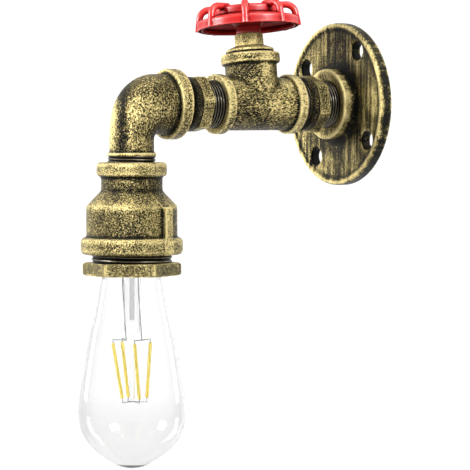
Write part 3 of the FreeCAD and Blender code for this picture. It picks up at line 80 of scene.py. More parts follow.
FLANGE_TOP = -low("wall_flange", Y)
TEE_START = -high("valve_tee", Y)
TEE_END = -low("valve_tee", Y)
ELBOW_FACE = -high("street_elbow", Y)
DROP_AXIS = -(low("reducing_socket", Y) + high("reducing_socket", Y)) / 2
BELL_TOP = -high("reducing_socket", Z)
BELL_END = -low("reducing_socket", Z)
BUSHING_END = -low("hex_bushing", Z)
STEM_TOP = -high("bulb_stem", Z)
ROD_END = -low("bulb_stem", Z)
HINGE = next(joint for joint in frame["record"]["behaviour"]["joints"] if joint["type"] == "hinge")
VALVE_AXIS = Vector(HINGE["axis"]).normalized()
VALVE_BASE = Vector(HINGE["pos_m"])
ALONG_ARM = Vector((0, 1, 0))
VALVE_SIDE = ALONG_ARM.cross(VALVE_AXIS)

# Sizes of the pieces that scene.py draws itself, in millimetres and degrees
SEAM_OVERLAP = 0.1

# Nipples: hexagon, dark collar, threads
HEX_LENGTH = 7.3
COLLAR_LENGTH = 5.2
COLLAR_RADIUS = 16.4
NIPPLE_FLATS = 31.0
REAR_CORNER = 41.0
FRONT_CORNER = 8.5
FRONT_HEX_LIFT = 0.14
FAR_THREAD = 4.3
HIDDEN_THREAD = 4.0
THREAD_RADIUS = 14.4
THREAD_DEPTH = 1.0
CREST_POWER = 0.7
PIPE_BORE = 9.5
PIPE_PITCH = 1.814

# Bushing round the bulb
BUSHING_PITCH = 2.309
BUSHING_THREAD = 23.95
BUSHING_THREAD_BORE = 20.0
BUSHING_BORE = 18.6
BUSHING_FLATS = 51.0
BUSHING_CORNER = -3.4
BUSHING_CHAMFER = 1.6
BUSHING_GAP = 4.8

# Elbow's leg, reducer's rib, flange's screw holes
LEG_RING_START = 28.2
LEG_RING_END = 30.7
LEG_THREAD = 14.4
LEG_BORE = 12.0
RIB_ANGLE = 17.0
HOLE_REACH = 39.2
HOLE_ANGLE = 56.0
HOLES = 4

# Bonnet and gland nut, as heights above the arm and radii
# the next three sizes place a dark ring of painted shadow in the gap below the bonnet's collar
SHADOW_RING_BOTTOM = 30.4
SHADOW_RING_TOP = 32.2
SHADOW_RING_REACH = 13.5
BONNET_BOTTOM = 31.9
BONNET_EDGE = 33.2
BONNET_REACH = 14.6
BONNET_SHOULDER = 9.4
BONNET_TOP = 35.4
BONNET_BORE = 6.2
GLAND_TOP = 42.7
GLAND_FLATS = 15.4
GLAND_CORNER = -3.0
GLAND_BORE = 3.2
GLAND_CHAMFER = 0.7

# Worn paint, with painted light and shade added in: more is brighter, less is darker; the underside constant
# is painted shade on faces that look down; EDGE_TURN is the sine of the least turn that counts as an edge
PLAIN_WEAR = 0.5
MOST_WEAR = 1.5
EDGE_WEAR = 0.35
EDGE_TURN = 0.2
EDGE_SPREAD = 1.2
UNDERSIDE_SHADE = 0.3
BEND_GAIN = 3.0
BEND_LIMIT = 0.5

# The photograph in pixels: its size, focal length, middle and level line; the camera's place in millimetres
PHOTO_SIZE = 470
PHOTO_FOCAL = 3000
PHOTO_MIDDLE = 235
PHOTO_LEVEL = 104.2
EYE = (1521.9, -1069.2, 0.0)
SENSOR = 36.0
SIGHT_X = 0.5446
SIGHT_Y = 0.8387
AHEAD = Vector((-SIGHT_Y, SIGHT_X, 0))
ASIDE = Vector((SIGHT_X, SIGHT_Y, 0))


def arm(radius, angle, height):
    """A point round the arm's axis, at a distance from the wall."""
    return Vector((radius * math.cos(angle), -height, radius * math.sin(angle))) * MM


def drop(radius, angle, depth):
    """A point round the bulb's axis, at a depth below the arm."""
    return Vector((radius * math.cos(angle), radius * math.sin(angle) - DROP_AXIS, -depth)) * MM


def valve(radius, angle, height):
    """A point round the valve's leaning axis, at a height above the arm's axis."""
    across = VALVE_SIDE * math.cos(angle) + ALONG_ARM * math.sin(angle)
    return VALVE_BASE + (across * radius + VALVE_AXIS * height) * MM


def rightward(x, y):
    """How far a point is to the right as the photograph sees it."""
    return SIGHT_X * x + SIGHT_Y * y


# ---------------------------------------------------------------- meshes

def mesh_object(name, points, faces, wear=None, smooth_angle=40):
    """A mesh with a worn-paint value on each point."""
    mesh = bpy.data.meshes.new(name)
    mesh.from_pydata([tuple(point) for point in points], [], faces)
    return finish_mesh(name, mesh, wear, smooth_angle)


def finish_mesh(name, mesh, wear, smooth_angle=40):
    """Smooth shading, the worn-paint values and an object for a mesh."""
    if wear is not None:
        # this wear value also carries painted light and shade
        layer = mesh.attributes.new("wear", "FLOAT", "POINT")
        layer.data.foreach_set("value", np.clip(wear, 0, MOST_WEAR).astype(np.float32))
    mesh.polygons.foreach_set("use_smooth", [True] * len(mesh.polygons))
    mesh.set_sharp_from_angle(angle=math.radians(smooth_angle))
    piece = bpy.data.objects.new(name, mesh)
    bpy.context.scene.collection.objects.link(piece)
    return piece


def grid(name, rows, wear, ends="closed", smooth_angle=40):
    """A skin over closed rings of points; its ends are closed, or joined to each other."""
    count = len(rows[0])
    points = [point for row in rows for point in row]
    values = []
    for value in wear:
        values.extend(value if isinstance(value, list) else [value] * count)
    last = len(rows) - 1
    spans = list(range(last)) + ([last] if ends == "joined" else [])
    faces = []
    for i in spans:
        following = (i + 1) % len(rows)
        for j in range(count):
            k = (j + 1) % count
            faces.append((i * count + j, i * count + k, following * count + k, following * count + j))
    if ends == "closed":
        faces.append(tuple(range(count))[::-1])
        faces.append(tuple(last * count + j for j in range(count)))
    piece = mesh_object(name, points, faces, np.array(values), smooth_angle)
    work = bmesh.new()
    work.from_mesh(piece.data)
    bmesh.ops.recalc_face_normals(work, faces=work.faces)
    work.to_mesh(piece.data)
    work.free()
    return piece


def soften(corners, step):
    """An outline of (radius, height, round) corners, rounded and cut into short steps, with its wear.

    Corners that turn to the left stand out and are worn bright; those that turn right are hollows.
    """
    arc_steps = 6
    most_of_side = 0.49
    points = []
    turns = []
    for i, corner in enumerate(corners):
        here = Vector(corner[:2])
        size = corner[2] if len(corner) > 2 else 0.0
        if i in (0, len(corners) - 1):
            points.append(here)
            turns.append(0.0)
            continue
        back = Vector(corners[i - 1][:2]) - here
        ahead = Vector(corners[i + 1][:2]) - here
        a, b = back.normalized(), ahead.normalized()
        turn = b.x * a.y - b.y * a.x
        if not size:
            points.append(here)
            turns.append(turn)
            continue
        half = math.acos(max(-1.0, min(1.0, a.dot(b)))) / 2
        reach = min(size / math.tan(half), most_of_side * min(back.length, ahead.length))
        radius = reach * math.tan(half)
        centre = here + (a + b).normalized() * (radius / math.sin(half))
        start, end = here + a * reach - centre, here + b * reach - centre
        first = math.atan2(start.y, start.x)
        sweep = (math.atan2(end.y, end.x) - first + math.pi) % TAU - math.pi
        for n in range(arc_steps + 1):
            angle = first + sweep * n / arc_steps
            points.append(centre + Vector((math.cos(angle), math.sin(angle))) * radius)
            turns.append(turn)
    dense = [points[0]]
    for i in range(1, len(points)):
        gap = (points[i] - points[i - 1]).length
        parts = max(1, round(gap / step))
        dense += [points[i - 1].lerp(points[i], n / parts) for n in range(1, parts + 1)]
    edges = [(point, turn) for point, turn in zip(points, turns) if abs(turn) > EDGE_TURN]
    out = []
    for point in dense:
        near = [math.copysign(math.exp(-(edge - point).length / EDGE_SPREAD), turn) for edge, turn in edges]
        out.append((point.x, point.y, PLAIN_WEAR + EDGE_WEAR * (max(near + [0]) + min(near + [0]))))
    return out


def lathe(name, corners, place, step=0.7, lift=0.0):
    """A turned piece; its outline starts and ends on the bore, and outward corners turn left."""
    least_radius = 0.02
    rows = []
    wear = []
    for radius, height, value in soften(corners, step):
        rows.append([place(max(radius, least_radius), TAU * j / ROUND, height) for j in range(ROUND)])
        wear.append(value + lift)
    return grid(name, rows, wear, "joined")


def helix(name, radius, pitch, start, end, place, bore):
    """A pipe thread: a tube whose crest winds round its axis."""
    steps_per_turn = 10
    count = max(2, round((end - start) / pitch * steps_per_turn))
    rows = []
    wear = []
    for i in range(count + 1):
        height = start + (end - start) * i / count
        row = []
        values = []
        for j in range(ROUND):
            angle = TAU * j / ROUND
            crest = (0.5 + 0.5 * math.cos(TAU * (height / pitch - angle / TAU))) ** CREST_POWER
            row.append(place(radius - THREAD_DEPTH * (1 - crest), angle, height))
            values.append(crest)
        rows.append(row)
        wear.append(values)
    for height in (end, start):
        rows.append([place(bore, TAU * j / ROUND, height) for j in range(ROUND)])
        wear.append(0.0)
    return grid(name, rows, wear, "joined")


def hexagon(name, flats, first_corner, start, end, place, bore, chamfer=0.8, lift=0.0):
    """A bored hexagon whose corners are cut back by a cone at both ends."""
    edge_steps = (0, 0.2, 0.5, 0.9, 1.4)
    middle_steps = 6
    cone_slope = 1.5
    soft_edge = 0.25
    blunt_corner = 0.2
    corner_spread, end_spread = 0.6, 0.5
    bright_edge = 0.45
    dark_bore = 0.3
    sixth = math.pi / 3
    apothem = flats / 2
    corner = apothem / math.cos(sixth / 2)
    inset = edge_steps[-1]
    heights = [start + step for step in edge_steps]
    heights += [start + inset + (end - start - 2 * inset) * n / middle_steps for n in range(1, middle_steps)]
    heights += [end - step for step in edge_steps[::-1]]
    rows = []
    wear = []
    for height in heights:
        edge = min(height - start, end - height)
        limit = corner - chamfer + edge * cone_slope - soft_edge * max(0.0, soft_edge - edge)
        row = []
        values = []
        for j in range(ROUND):
            angle = TAU * j / ROUND
            side = (angle + sixth / 2) % sixth - sixth / 2
            flat = apothem / math.cos(sixth / 2 - abs(side))
            rim = min(flat, corner - blunt_corner, limit)
            row.append(place(rim, angle + first_corner, height))
            near = max(math.exp(-abs(side) * apothem / corner_spread), math.exp(-edge / end_spread))
            values.append(PLAIN_WEAR + bright_edge * near + lift)
        rows.append(row)
        wear.append(values)
    for height in (end, start):
        rows.append([place(bore, TAU * j / ROUND + first_corner, height) for j in range(ROUND)])
        wear.append(dark_bore)
    return grid(name, rows, wear, "joined", smooth_angle=24)


def level(*_place):
    """No extra wear and no carving anywhere."""
    return 0.0


def cast_skin(name, node, voxel, relief, lift, carve=level):
    """A dense copy of a CAD node: softened edges, a cast surface, and wear from its own curvature.

    lift gives each point more or less wear and painted light and shade, and carve sinks it by a depth.
    Surfaces that face down are darkened as painted shade.
    """
    fair_passes, broad_passes = 2, 14
    dent_scale = 0.55
    source = frame["nodes"][node]
    rough = bpy.data.objects.new(name + "_rough", source.data.copy())
    bpy.context.scene.collection.objects.link(rough)
    modifier = rough.modifiers.new("skin", "REMESH")
    modifier.mode = "VOXEL"
    modifier.voxel_size = voxel * MM
    mesh = bpy.data.meshes.new_from_object(rough.evaluated_get(bpy.context.evaluated_depsgraph_get()))
    bpy.data.objects.remove(rough)
    count = len(mesh.vertices)
    spots = np.empty(count * 3)
    mesh.vertices.foreach_get("co", spots)
    spots = spots.reshape(-1, 3)
    ends = np.empty(len(mesh.edges) * 2, dtype=np.int64)
    mesh.edges.foreach_get("vertices", ends)
    ends = ends.reshape(-1, 2)
    fair = relax(spots, ends, fair_passes)
    broad = relax(fair, ends, broad_passes)
    normals = np.empty(count * 3)
    mesh.vertex_normals.foreach_get("vector", normals)
    normals = normals.reshape(-1, 3)
    bend = ((fair - broad) * normals).sum(axis=1) / MM
    wear = PLAIN_WEAR + np.clip(bend * BEND_GAIN, -BEND_LIMIT, BEND_LIMIT)
    local = fair / MM
    # painted shade: faces that look down are darkened
    wear = wear + np.array([lift(*point) for point in local]) - UNDERSIDE_SHADE * np.clip(-normals[:, Z], 0, 1)
    dents = np.array([0.5 + 0.5 * field.noise(Vector(point) * dent_scale) for point in local])
    cuts = np.array([carve(*point) for point in local])
    fair -= normals * ((relief * dents + cuts) * MM)[:, None]
    mesh.vertices.foreach_set("co", fair.ravel())
    return finish_mesh(name, mesh, wear, smooth_angle=180)


def relax(spots, ends, times):
    """Moves every point towards the middle of its neighbours, a number of times."""
    count = len(spots)
    degree = np.bincount(ends.ravel(), minlength=count)[:, None]
    for _ in range(times):
        total = np.zeros_like(spots)
        for axis in range(3):
            total[:, axis] += np.bincount(ends[:, 0], spots[ends[:, 1], axis], count)
            total[:, axis] += np.bincount(ends[:, 1], spots[ends[:, 0], axis], count)
        spots = 0.5 * spots + 0.5 * total / np.maximum(degree, 1)
    return spots


def wire(name, path, radius):
    """A thin round wire along a path of points."""
    sides = 10
    rows = []
    for i, point in enumerate(path):
        along = (path[min(i + 1, len(path) - 1)] - path[max(i - 1, 0)]).normalized()
        side = along.orthogonal().normalized()
        if rows:
            side = (previous - along * previous.dot(along)).normalized()
        previous = side
        other = along.cross(side)
        turns = [TAU * j / sides for j in range(sides)]
        ring = [side * math.cos(turn) + other * math.sin(turn) for turn in turns]
        rows.append([point + outward * radius * MM for outward in ring])
    return grid(name, rows, [PLAIN_WEAR] * len(rows))


# ---------------------------------------------------------------- materials

# Colour ramps: how far the paint is worn or covered, with painted light and shade added in, and its colour
# there
BRONZE_RAMP = [(0.22, (0.008, 0.008, 0.007)), (0.42, (0.070, 0.058, 0.024)),
               (0.64, (0.42, 0.33, 0.115)), (1.0, (0.86, 0.72, 0.34))]
THREAD_RAMP = [(0.0, (0.004, 0.004, 0.004)), (0.74, (0.022, 0.020, 0.016)), (1.0, (0.22, 0.20, 0.15))]
# the darkest red stops colour the painted shade under the wheel
RED_RAMP = [(0.05, (0.060, 0.003, 0.003)), (0.38, (0.36, 0.006, 0.008)),
            (0.60, (0.48, 0.012, 0.011)), (0.95, (0.59, 0.032, 0.026))]
PAPER_RAMP = [(0.0, (0.94, 0.94, 0.94)), (1.0, (0.96, 0.96, 0.96))]
BRONZE_GRAIN = 1300.0
BRONZE_BLOTCH = 80.0
BRONZE_DARKER = -0.26
SPECKLE_PUSH = 5.5
STREAK_PUSH = 2.2
# How fast the bulb's tint clears with height, per metre
GLASS_FADE = 22.0


def new_material(name):
    """A material with its node tree and its shader."""
    material = bpy.data.materials.new(name)
    material.use_nodes = True
    return material, material.node_tree, material.node_tree.nodes["Principled BSDF"]


def position(tree, scale=(1, 1, 1)):
    """Object coordinates, stretched along each axis."""
    source = tree.nodes.new("ShaderNodeTexCoord")
    mapping = tree.nodes.new("ShaderNodeMapping")
    mapping.inputs["Scale"].default_value = scale
    tree.links.new(source.outputs["Object"], mapping.inputs["Vector"])
    return mapping.outputs["Vector"]


def noise(tree, vector, scale, detail=3.0, roughness=0.6, distortion=0.0):
    """A noise texture's value."""
    node = tree.nodes.new("ShaderNodeTexNoise")
    node.inputs["Scale"].default_value = scale
    node.inputs["Detail"].default_value = detail
    node.inputs["Roughness"].default_value = roughness
    node.inputs["Distortion"].default_value = distortion
    tree.links.new(vector, node.inputs["Vector"])
    return node.outputs["Fac"]


def combine(tree, operation, first, second, clamp=False):
    """A math node over two sockets or numbers."""
    node = tree.nodes.new("ShaderNodeMath")
    node.operation = operation
    node.use_clamp = clamp
    for slot, value in enumerate((first, second)):
        if isinstance(value, (int, float)):
            node.inputs[slot].default_value = value
        else:
            tree.links.new(value, node.inputs[slot])
    return node.outputs[0]


def swing(tree, value, amount):
    """A noise value turned into a push either way, of a given strength."""
    return combine(tree, "MULTIPLY", combine(tree, "SUBTRACT", value, 0.5), amount)


def ramp(tree, source, stops):
    """A colour ramp through (position, colour) stops."""
    node = tree.nodes.new("ShaderNodeValToRGB")
    elements = node.color_ramp.elements
    while len(elements) < len(stops):
        elements.new(0.5)
    for element, (place_on_ramp, colour) in zip(elements, stops):
        element.position = place_on_ramp
        element.color = (*colour, 1.0)
    tree.links.new(source, node.inputs["Fac"])
    return node.outputs["Color"]


def bump(tree, shader, height, strength, distance):
    """Bump from a height socket."""
    node = tree.nodes.new("ShaderNodeBump")
    node.inputs["Strength"].default_value = strength
    node.inputs["Distance"].default_value = distance
    tree.links.new(height, node.inputs["Height"])
    tree.links.new(node.outputs["Normal"], shader.inputs["Normal"])


def worn(tree):
    """The worn-paint value of the mesh, with painted light and shade added in."""
    node = tree.nodes.new("ShaderNodeAttribute")
    node.attribute_name = "wear"
    return node.outputs["Fac"]


def antique(name, base=0.0, speckle=1.0, brush=(1, 1, 1), streaks=None):
    """Black cast iron dry-brushed with antique brass paint, more of it where the piece is worn and where
    light is painted on, less where shade is painted on.
    """
    material, tree, shader = new_material(name)
    fine = noise(tree, position(tree, brush), BRONZE_GRAIN, detail=4.0, roughness=0.8, distortion=0.6)
    broad = noise(tree, position(tree), BRONZE_BLOTCH)
    cover = combine(tree, "ADD", worn(tree), base + BRONZE_DARKER)
    cover = combine(tree, "ADD", cover, swing(tree, broad, 1.0))
    cover = combine(tree, "ADD", cover, swing(tree, fine, SPECKLE_PUSH * speckle))
    if streaks:
        lines = noise(tree, position(tree, streaks), 1.0, detail=4.0, roughness=0.65)
        cover = combine(tree, "ADD", cover, swing(tree, lines, STREAK_PUSH))
    tree.links.new(ramp(tree, cover, BRONZE_RAMP), shader.inputs["Base Color"])
    shader.inputs["Metallic"].default_value = 0.88
    shader.inputs["Specular IOR Level"].default_value = 0.3
    smooth, grainy = 0.24, 0.3
    uneven = combine(tree, "ADD", combine(tree, "MULTIPLY", fine, grainy), smooth)
    tree.links.new(uneven, shader.inputs["Roughness"])
    thickness = 0.4
    height = combine(tree, "ADD", fine, combine(tree, "MULTIPLY", cover, thickness))
    bump(tree, shader, height, strength=0.6, distance=0.0005)
    return material


def thread_black():
    """Glossy black thread whose crests are rubbed bright."""
    material, tree, shader = new_material("thread_black")
    fine = noise(tree, position(tree), scale=700.0, detail=2.0)
    crest = combine(tree, "ADD", worn(tree), swing(tree, fine, 0.5))
    tree.links.new(ramp(tree, crest, THREAD_RAMP), shader.inputs["Base Color"])
    shader.inputs["Metallic"].default_value = 0.8
    shader.inputs["Roughness"].default_value = 0.3
    bump(tree, shader, fine, strength=0.15, distance=0.0002)
    return material


def red_enamel():
    """Thick glossy red paint over a casting, darker in its recesses, with painted shade underneath that also
    dulls its gloss.
    """
    material, tree, shader = new_material("red_enamel")
    broad = noise(tree, position(tree), scale=120.0, roughness=0.5)
    cover = combine(tree, "ADD", worn(tree), swing(tree, broad, 0.35))
    tree.links.new(ramp(tree, cover, RED_RAMP), shader.inputs["Base Color"])
    shader.inputs["Roughness"].default_value = 0.42
    shader.inputs["Coat Roughness"].default_value = 0.2
    gloss = combine(tree, "MULTIPLY", worn(tree), worn(tree))
    tree.links.new(gloss, shader.inputs["Specular IOR Level"])
    tree.links.new(combine(tree, "MULTIPLY", gloss, 0.4), shader.inputs["Coat Weight"])
    bump(tree, shader, broad, strength=0.35, distance=0.0009)
    return material


def clear_glass(name, low_tint, high_tint, edge, refraction):
    """Clear blown glass, a little greyer low down, with painted shade where it is seen edge on."""
    rim_start = 0.80
    material, tree, shader = new_material(name)
    split = tree.nodes.new("ShaderNodeSeparateXYZ")
    tree.links.new(position(tree, (1, 1, GLASS_FADE)), split.inputs[0])
    level_in = combine(tree, "ADD", split.outputs["Z"], -low("bulb_glass", Z) * MM * GLASS_FADE, clamp=True)
    tint = ramp(tree, level_in, [(0.0, (low_tint,) * 3), (1.0, (high_tint,) * 3)])
    # painted shade: the glass is greyed where it is seen edge on
    weight = tree.nodes.new("ShaderNodeLayerWeight")
    weight.inputs["Blend"].default_value = 0.5
    rim = ramp(tree, weight.outputs["Facing"], [(rim_start, (1, 1, 1)), (1.0, (edge,) * 3)])
    mix = tree.nodes.new("ShaderNodeMix")
    mix.data_type = "RGBA"
    mix.blend_type = "MULTIPLY"
    mix.inputs["Factor"].default_value = 1.0
    tree.links.new(tint, mix.inputs["A"])
    tree.links.new(rim, mix.inputs["B"])
    tree.links.new(mix.outputs["Result"], shader.inputs["Base Color"])
    shader.inputs["Roughness"].default_value = 0.0
    shader.inputs["IOR"].default_value = refraction
    shader.inputs["Transmission Weight"].default_value = 1.0
    return material


def plain(name, dark, light, rough, metallic=0.0, glow=0.0):
    """A simple finish with a little variation of colour and relief."""
    material, tree, shader = new_material(name)
    fine = noise(tree, position(tree), scale=400.0)
    shade = ramp(tree, fine, [(0.35, dark), (0.65, light)])
    tree.links.new(shade, shader.inputs["Base Color"])
    shader.inputs["Roughness"].default_value = rough
    shader.inputs["Metallic"].default_value = metallic
    # glow: painted light, the finish shines on its own
    if glow:
        tree.links.new(shade, shader.inputs["Emission Color"])
        shader.inputs["Emission Strength"].default_value = glow
    bump(tree, shader, fine, strength=0.2, distance=0.00015)
    return material


MATERIALS = {
    "bronzed": antique("bronzed"),
    "bronzed_arm": antique("bronzed_arm", base=0.13, brush=(1, 0.45, 1)),
    "bronzed_bend": antique("bronzed_bend", base=0.12, brush=(1, 0.8, 0.6)),
    "bronzed_hex": antique("bronzed_hex", base=0.05),
    # a lighter copy of the bronze: painted light for pieces in the wheel's shade
    "bronzed_painted_light": antique("bronzed_painted_light", base=0.22),
    "bronzed_dark": antique("bronzed_dark", base=-0.14),
    "bronzed_flange": antique("bronzed_flange", base=0.12, speckle=0.7, streaks=(520, 60, 30)),
    "thread": thread_black(),
    "red": red_enamel(),
    "glass": clear_glass("clear_glass", low_tint=0.86, high_tint=0.995, edge=0.45, refraction=1.47),
    "stem_glass": clear_glass("stem_glass", low_tint=0.97, high_tint=0.98, edge=0.35, refraction=1.2),
    "steel": plain("steel", (0.35, 0.35, 0.36), (0.6, 0.6, 0.6), 0.35, 1.0),
    "brass": plain("brass", (0.55, 0.40, 0.15), (0.75, 0.58, 0.27), 0.3, 1.0),
    "cap_metal": plain("cap_metal", (0.55, 0.53, 0.50), (0.72, 0.70, 0.66), 0.28, 1.0),
    "porcelain": plain("porcelain", (0.78, 0.77, 0.72), (0.86, 0.85, 0.81), 0.25),
    "packing": plain("packing", (0.02, 0.02, 0.02), (0.05, 0.05, 0.05), 0.7),
    "black_glass": plain("black_glass", (0.01, 0.01, 0.012), (0.03, 0.03, 0.035), 0.12),
    # the filament is given a faint glow as painted light
    "filament": plain("filament", (0.80, 0.62, 0.10), (0.86, 0.70, 0.16), 0.6, glow=0.25),
    "lead_wire": plain("lead_wire", (0.10, 0.10, 0.10), (0.22, 0.22, 0.22), 0.4, 0.7),
    "brown": plain("brown", (0.16, 0.07, 0.03), (0.24, 0.11, 0.05), 0.45),
    "blue": plain("blue", (0.02, 0.10, 0.34), (0.04, 0.16, 0.46), 0.45),
    "green": plain("green", (0.16, 0.42, 0.05), (0.75, 0.70, 0.05), 0.45),
}
SLOT_FINISH = {
    "cast_bronzed": "bronzed",
    "black_thread": "thread",
    "red_enamel": "red",
    "steel": "steel",
    "packing": "packing",
    "porcelain": "porcelain",
    "brass": "brass",
    "cap_metal": "cap_metal",
    "clear_glass": "glass",
    "black_glass": "black_glass",
    "filament": "filament",
    "lead_wire": "lead_wire",
    "wire_brown": "brown",
    "wire_blue": "blue",
    "wire_green": "green",
}


def paint(piece, material):
    """Gives a piece one material."""
    piece.data.materials.clear()
    piece.data.materials.append(MATERIALS[material])


def dress_frame():
    """Every CAD node gets the finish of its slot."""
    for entry in frame["record"]["subparts"]:
        paint(frame["nodes"][entry["node"]], SLOT_FINISH[entry["material_slot"]])


def fit(piece, material, body="pipework", node=None):
    """Paints a piece, makes it ride on a body, and lets it stand for a CAD node."""
    paint(piece, material)
    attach(piece, body)
    if node:
        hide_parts(node)


# ---------------------------------------------------------------- cast fittings

# Where bright and dark parts begin and end, in millimetres: a pair is the start and the end of a change.
# Flange: radii, heights above the wall, and distances from a screw hole's axis
HUB_EDGE = (21.8, 23.0)
HUB_FACE = (8.5, 11)
# the next two ranges place the painted shadow round the hub's root
ROOT_SHADOW = (24.0, 26.0)
ROOT_SHADOW_HALO = (26, 34)
RIM_EDGE = (46.5, 48.5)
RIM_FACE = (5.5, 6.5)
# painted shade on the flange's outer side
SHADED_FLANGE_SIDE = (49.0, 49.6)
FLANGE_BORE = (14.6, 15.4)
HOLE_WALL = (5.4, 6.2)
HOLE_EDGE = (7.4, 9.0)
HOLE_ROUND = (5.4, 7.2)
HOLE_ROUND_FACE = (5.6, 6.6)
# Tee: along the arm from its middle, up the branch, and to the right of the branch's axis
RUN_BAND = (22.6, 23.2)
BRANCH_BAND = (24.2, 25.0)
BRANCH_ROOT = (13, 17)
BODY_TOP = (15, 19)
# painted light: the body is lighter from here rightward, and the stripe below is a painted highlight on the
# branch
LIT_BODY_RIGHT = (6, 12)
HIGHLIGHT_PLACE, HIGHLIGHT_SPREAD = 8.0, 4.0
# Elbow: back from its face, to the right of its leg's axis, and up
ELBOW_BAND = (8.0, 8.6)
# the dark run is partly dry-brush and partly a painted dark reflection; the outer side's brightening is a
# painted highlight
DARK_RUN_PLACE, DARK_RUN_SPREAD = -5.0, 2.6
OUTER_HIGHLIGHT = (-10.5, -8.0)
ELBOW_TOP = (2, 8)
# Reducer: below its top, above its end, and round its axis in degrees
BEAD_END = (8.0, 8.8)
NECK_START = (8.2, 9)
NECK_END = (15, 19)
BODY_START = (19, 22)
SHOULDER_PLACE, SHOULDER_SPREAD = 24.5, 3.0
# a painted highlight down the body's right side
RIGHT_HIGHLIGHT_PLACE, RIGHT_HIGHLIGHT_SPREAD = 15.0, 6.0
FOOT_START = (-10.6, -10.0)
RIB_SIDE = (7, 8)
RIB_REACH = (27.6, 28.2)
SEAM_START = (8.5, 9.5)
SEAM_END = (26, 28)
SEAM_BEND = (8, 30)
# Wheel: up the valve's axis and out from it
# below this height and inside the rim the wheel gets painted shade; its hub is painted lighter as painted
# light
UNDER_SHADE_HEIGHT = (46.4, 47.2)
WHEEL_RIM = (30.0, 31.0)
LIGHTER_HUB_REACH = (9.0, 10.0)


def rise(value, start, end):
    """0 before a start, 1 after an end, easing between."""
    share = max(0.0, min(1.0, (value - start) / (end - start)))
    return share * share * (3 - 2 * share)


def fade(value, start, end):
    """1 before a start, 0 after an end, easing between."""
    return 1 - rise(value, start, end)


def hump(value, middle, spread):
    """1 at a middle, dying away on both sides."""
    return math.exp(-((value - middle) / spread) ** 2)


def from_hole(x, z):
    """How far a point of the flange is from the axis of its nearest screw hole."""
    angles = [math.radians(HOLE_ANGLE + 360 / HOLES * n) for n in range(HOLES)]
    return min(math.hypot(x - HOLE_REACH * math.cos(a), z - HOLE_REACH * math.sin(a)) for a in angles)


def flange_lift(x, y, z):
    """Bright hub, rim and hole edges; a painted shadow round the hub's root and painted shade on the flange's
    outer side.
    """
    radius = math.hypot(x, z)
    away = from_hole(x, z)
    hub = fade(radius, *HUB_EDGE)
    hub_face = hub * rise(-y, *HUB_FACE)
    rim_face = rise(radius, *RIM_EDGE) * rise(-y, *RIM_FACE)
    side = rise(radius, *SHADED_FLANGE_SIDE)
    # painted shadow round the hub's root
    ring = (0.6 * fade(radius, *ROOT_SHADOW) + 0.2 * fade(radius, *ROOT_SHADOW_HALO)) * (1 - hub)
    bore = fade(radius, *FLANGE_BORE)
    hole = fade(away, *HOLE_WALL)
    bright = 0.30 * hub_face + 0.20 * rim_face + 0.16 * fade(away, *HOLE_EDGE)
    # the outer side is darkened as painted shade
    return bright - 0.30 * side - ring - 0.5 * bore - 0.75 * hole


def flange_carve(x, y, z):
    """Rounds the edge of each screw hole."""
    depth = 1.0
    return depth * fade(from_hole(x, z), *HOLE_ROUND) * rise(-y, *HOLE_ROUND_FACE)


def on_valve(x, y, z):
    """A point as seen from the foot of the valve's axis, and its height up that axis."""
    spot = Vector((x, y, z)) - VALVE_BASE / MM
    return spot, spot.dot(VALVE_AXIS)


def tee_lift(x, y, z):
    """Bright bands; painted shade on the branch with a painted highlight stripe on its right; a body lighter
    towards the wall, as painted light.
    """
    spot, height = on_valve(x, y, z)
    across = rightward(spot.x, spot.y)
    run_bands = rise(abs(-y - (TEE_START + TEE_END) / 2), *RUN_BAND)
    branch_band = rise(height, *BRANCH_BAND)
    bands = 0.24 * max(run_bands, 0.8 * branch_band)
    # painted shade on the branch, with a painted highlight stripe
    branch = rise(height, *BRANCH_ROOT) * (0.62 * hump(across, HIGHLIGHT_PLACE, HIGHLIGHT_SPREAD) - 0.25)
    # painted light on the body's side towards the wall
    lit_wallward = rise(across, *LIT_BODY_RIGHT) * fade(height, *BODY_TOP)
    return bands + branch * (1 - 0.6 * branch_band) + 0.17 * lit_wallward


def elbow_lift(x, y, z):
    """A brighter band and ring; a painted highlight on the outer side; a dark run down the middle of the
    bend, partly dry-brush and partly a painted dark reflection; and a duller top.
    """
    back = -ELBOW_FACE - y
    across = rightward(x, y + DROP_AXIS)
    band = rise(back, -SEAM_OVERLAP, 0) * fade(back, *ELBOW_BAND)
    # dark run: partly dry-brush and partly a painted dark reflection
    middle = hump(across, DARK_RUN_PLACE, DARK_RUN_SPREAD)
    # painted highlight on the outer side
    outer = fade(across, *OUTER_HIGHLIGHT)
    ring = rise(-z, LEG_RING_START, LEG_RING_START + 0.3) * fade(-z, LEG_RING_END, LEG_RING_END + 0.2)
    top = rise(z, *ELBOW_TOP) * (1 - band)
    return 0.18 * band - 0.55 * middle + 0.3 * outer + 0.3 * ring - 0.15 * top


def elbow_carve(x, y, z):
    """Makes room on the leg for its thread."""
    depth = 1.7
    inside = fade(math.hypot(x, y + DROP_AXIS), LEG_THREAD + 0.2, LEG_THREAD + 0.4)
    return depth * inside * rise(-z, LEG_RING_END - SEAM_OVERLAP, LEG_RING_END + SEAM_OVERLAP)


def seam(x, y, z):
    """How near a point is to the casting seam that runs from the rib over the shoulder and up the neck."""
    down = -z - BELL_TOP
    low_angle, lean, width = 12.0, 15.0, 0.45
    angle = math.degrees(math.atan2(y + DROP_AXIS, x))
    path = low_angle - lean * fade(down, *SEAM_BEND)
    away = math.radians(angle - path) * math.hypot(x, y + DROP_AXIS)
    return hump(away, 0.0, width) * rise(down, *SEAM_START) * fade(down, *SEAM_END)


def bell_carve(x, y, z):
    """Raises the casting seam."""
    height = 0.3
    return -height * seam(x, y, z)


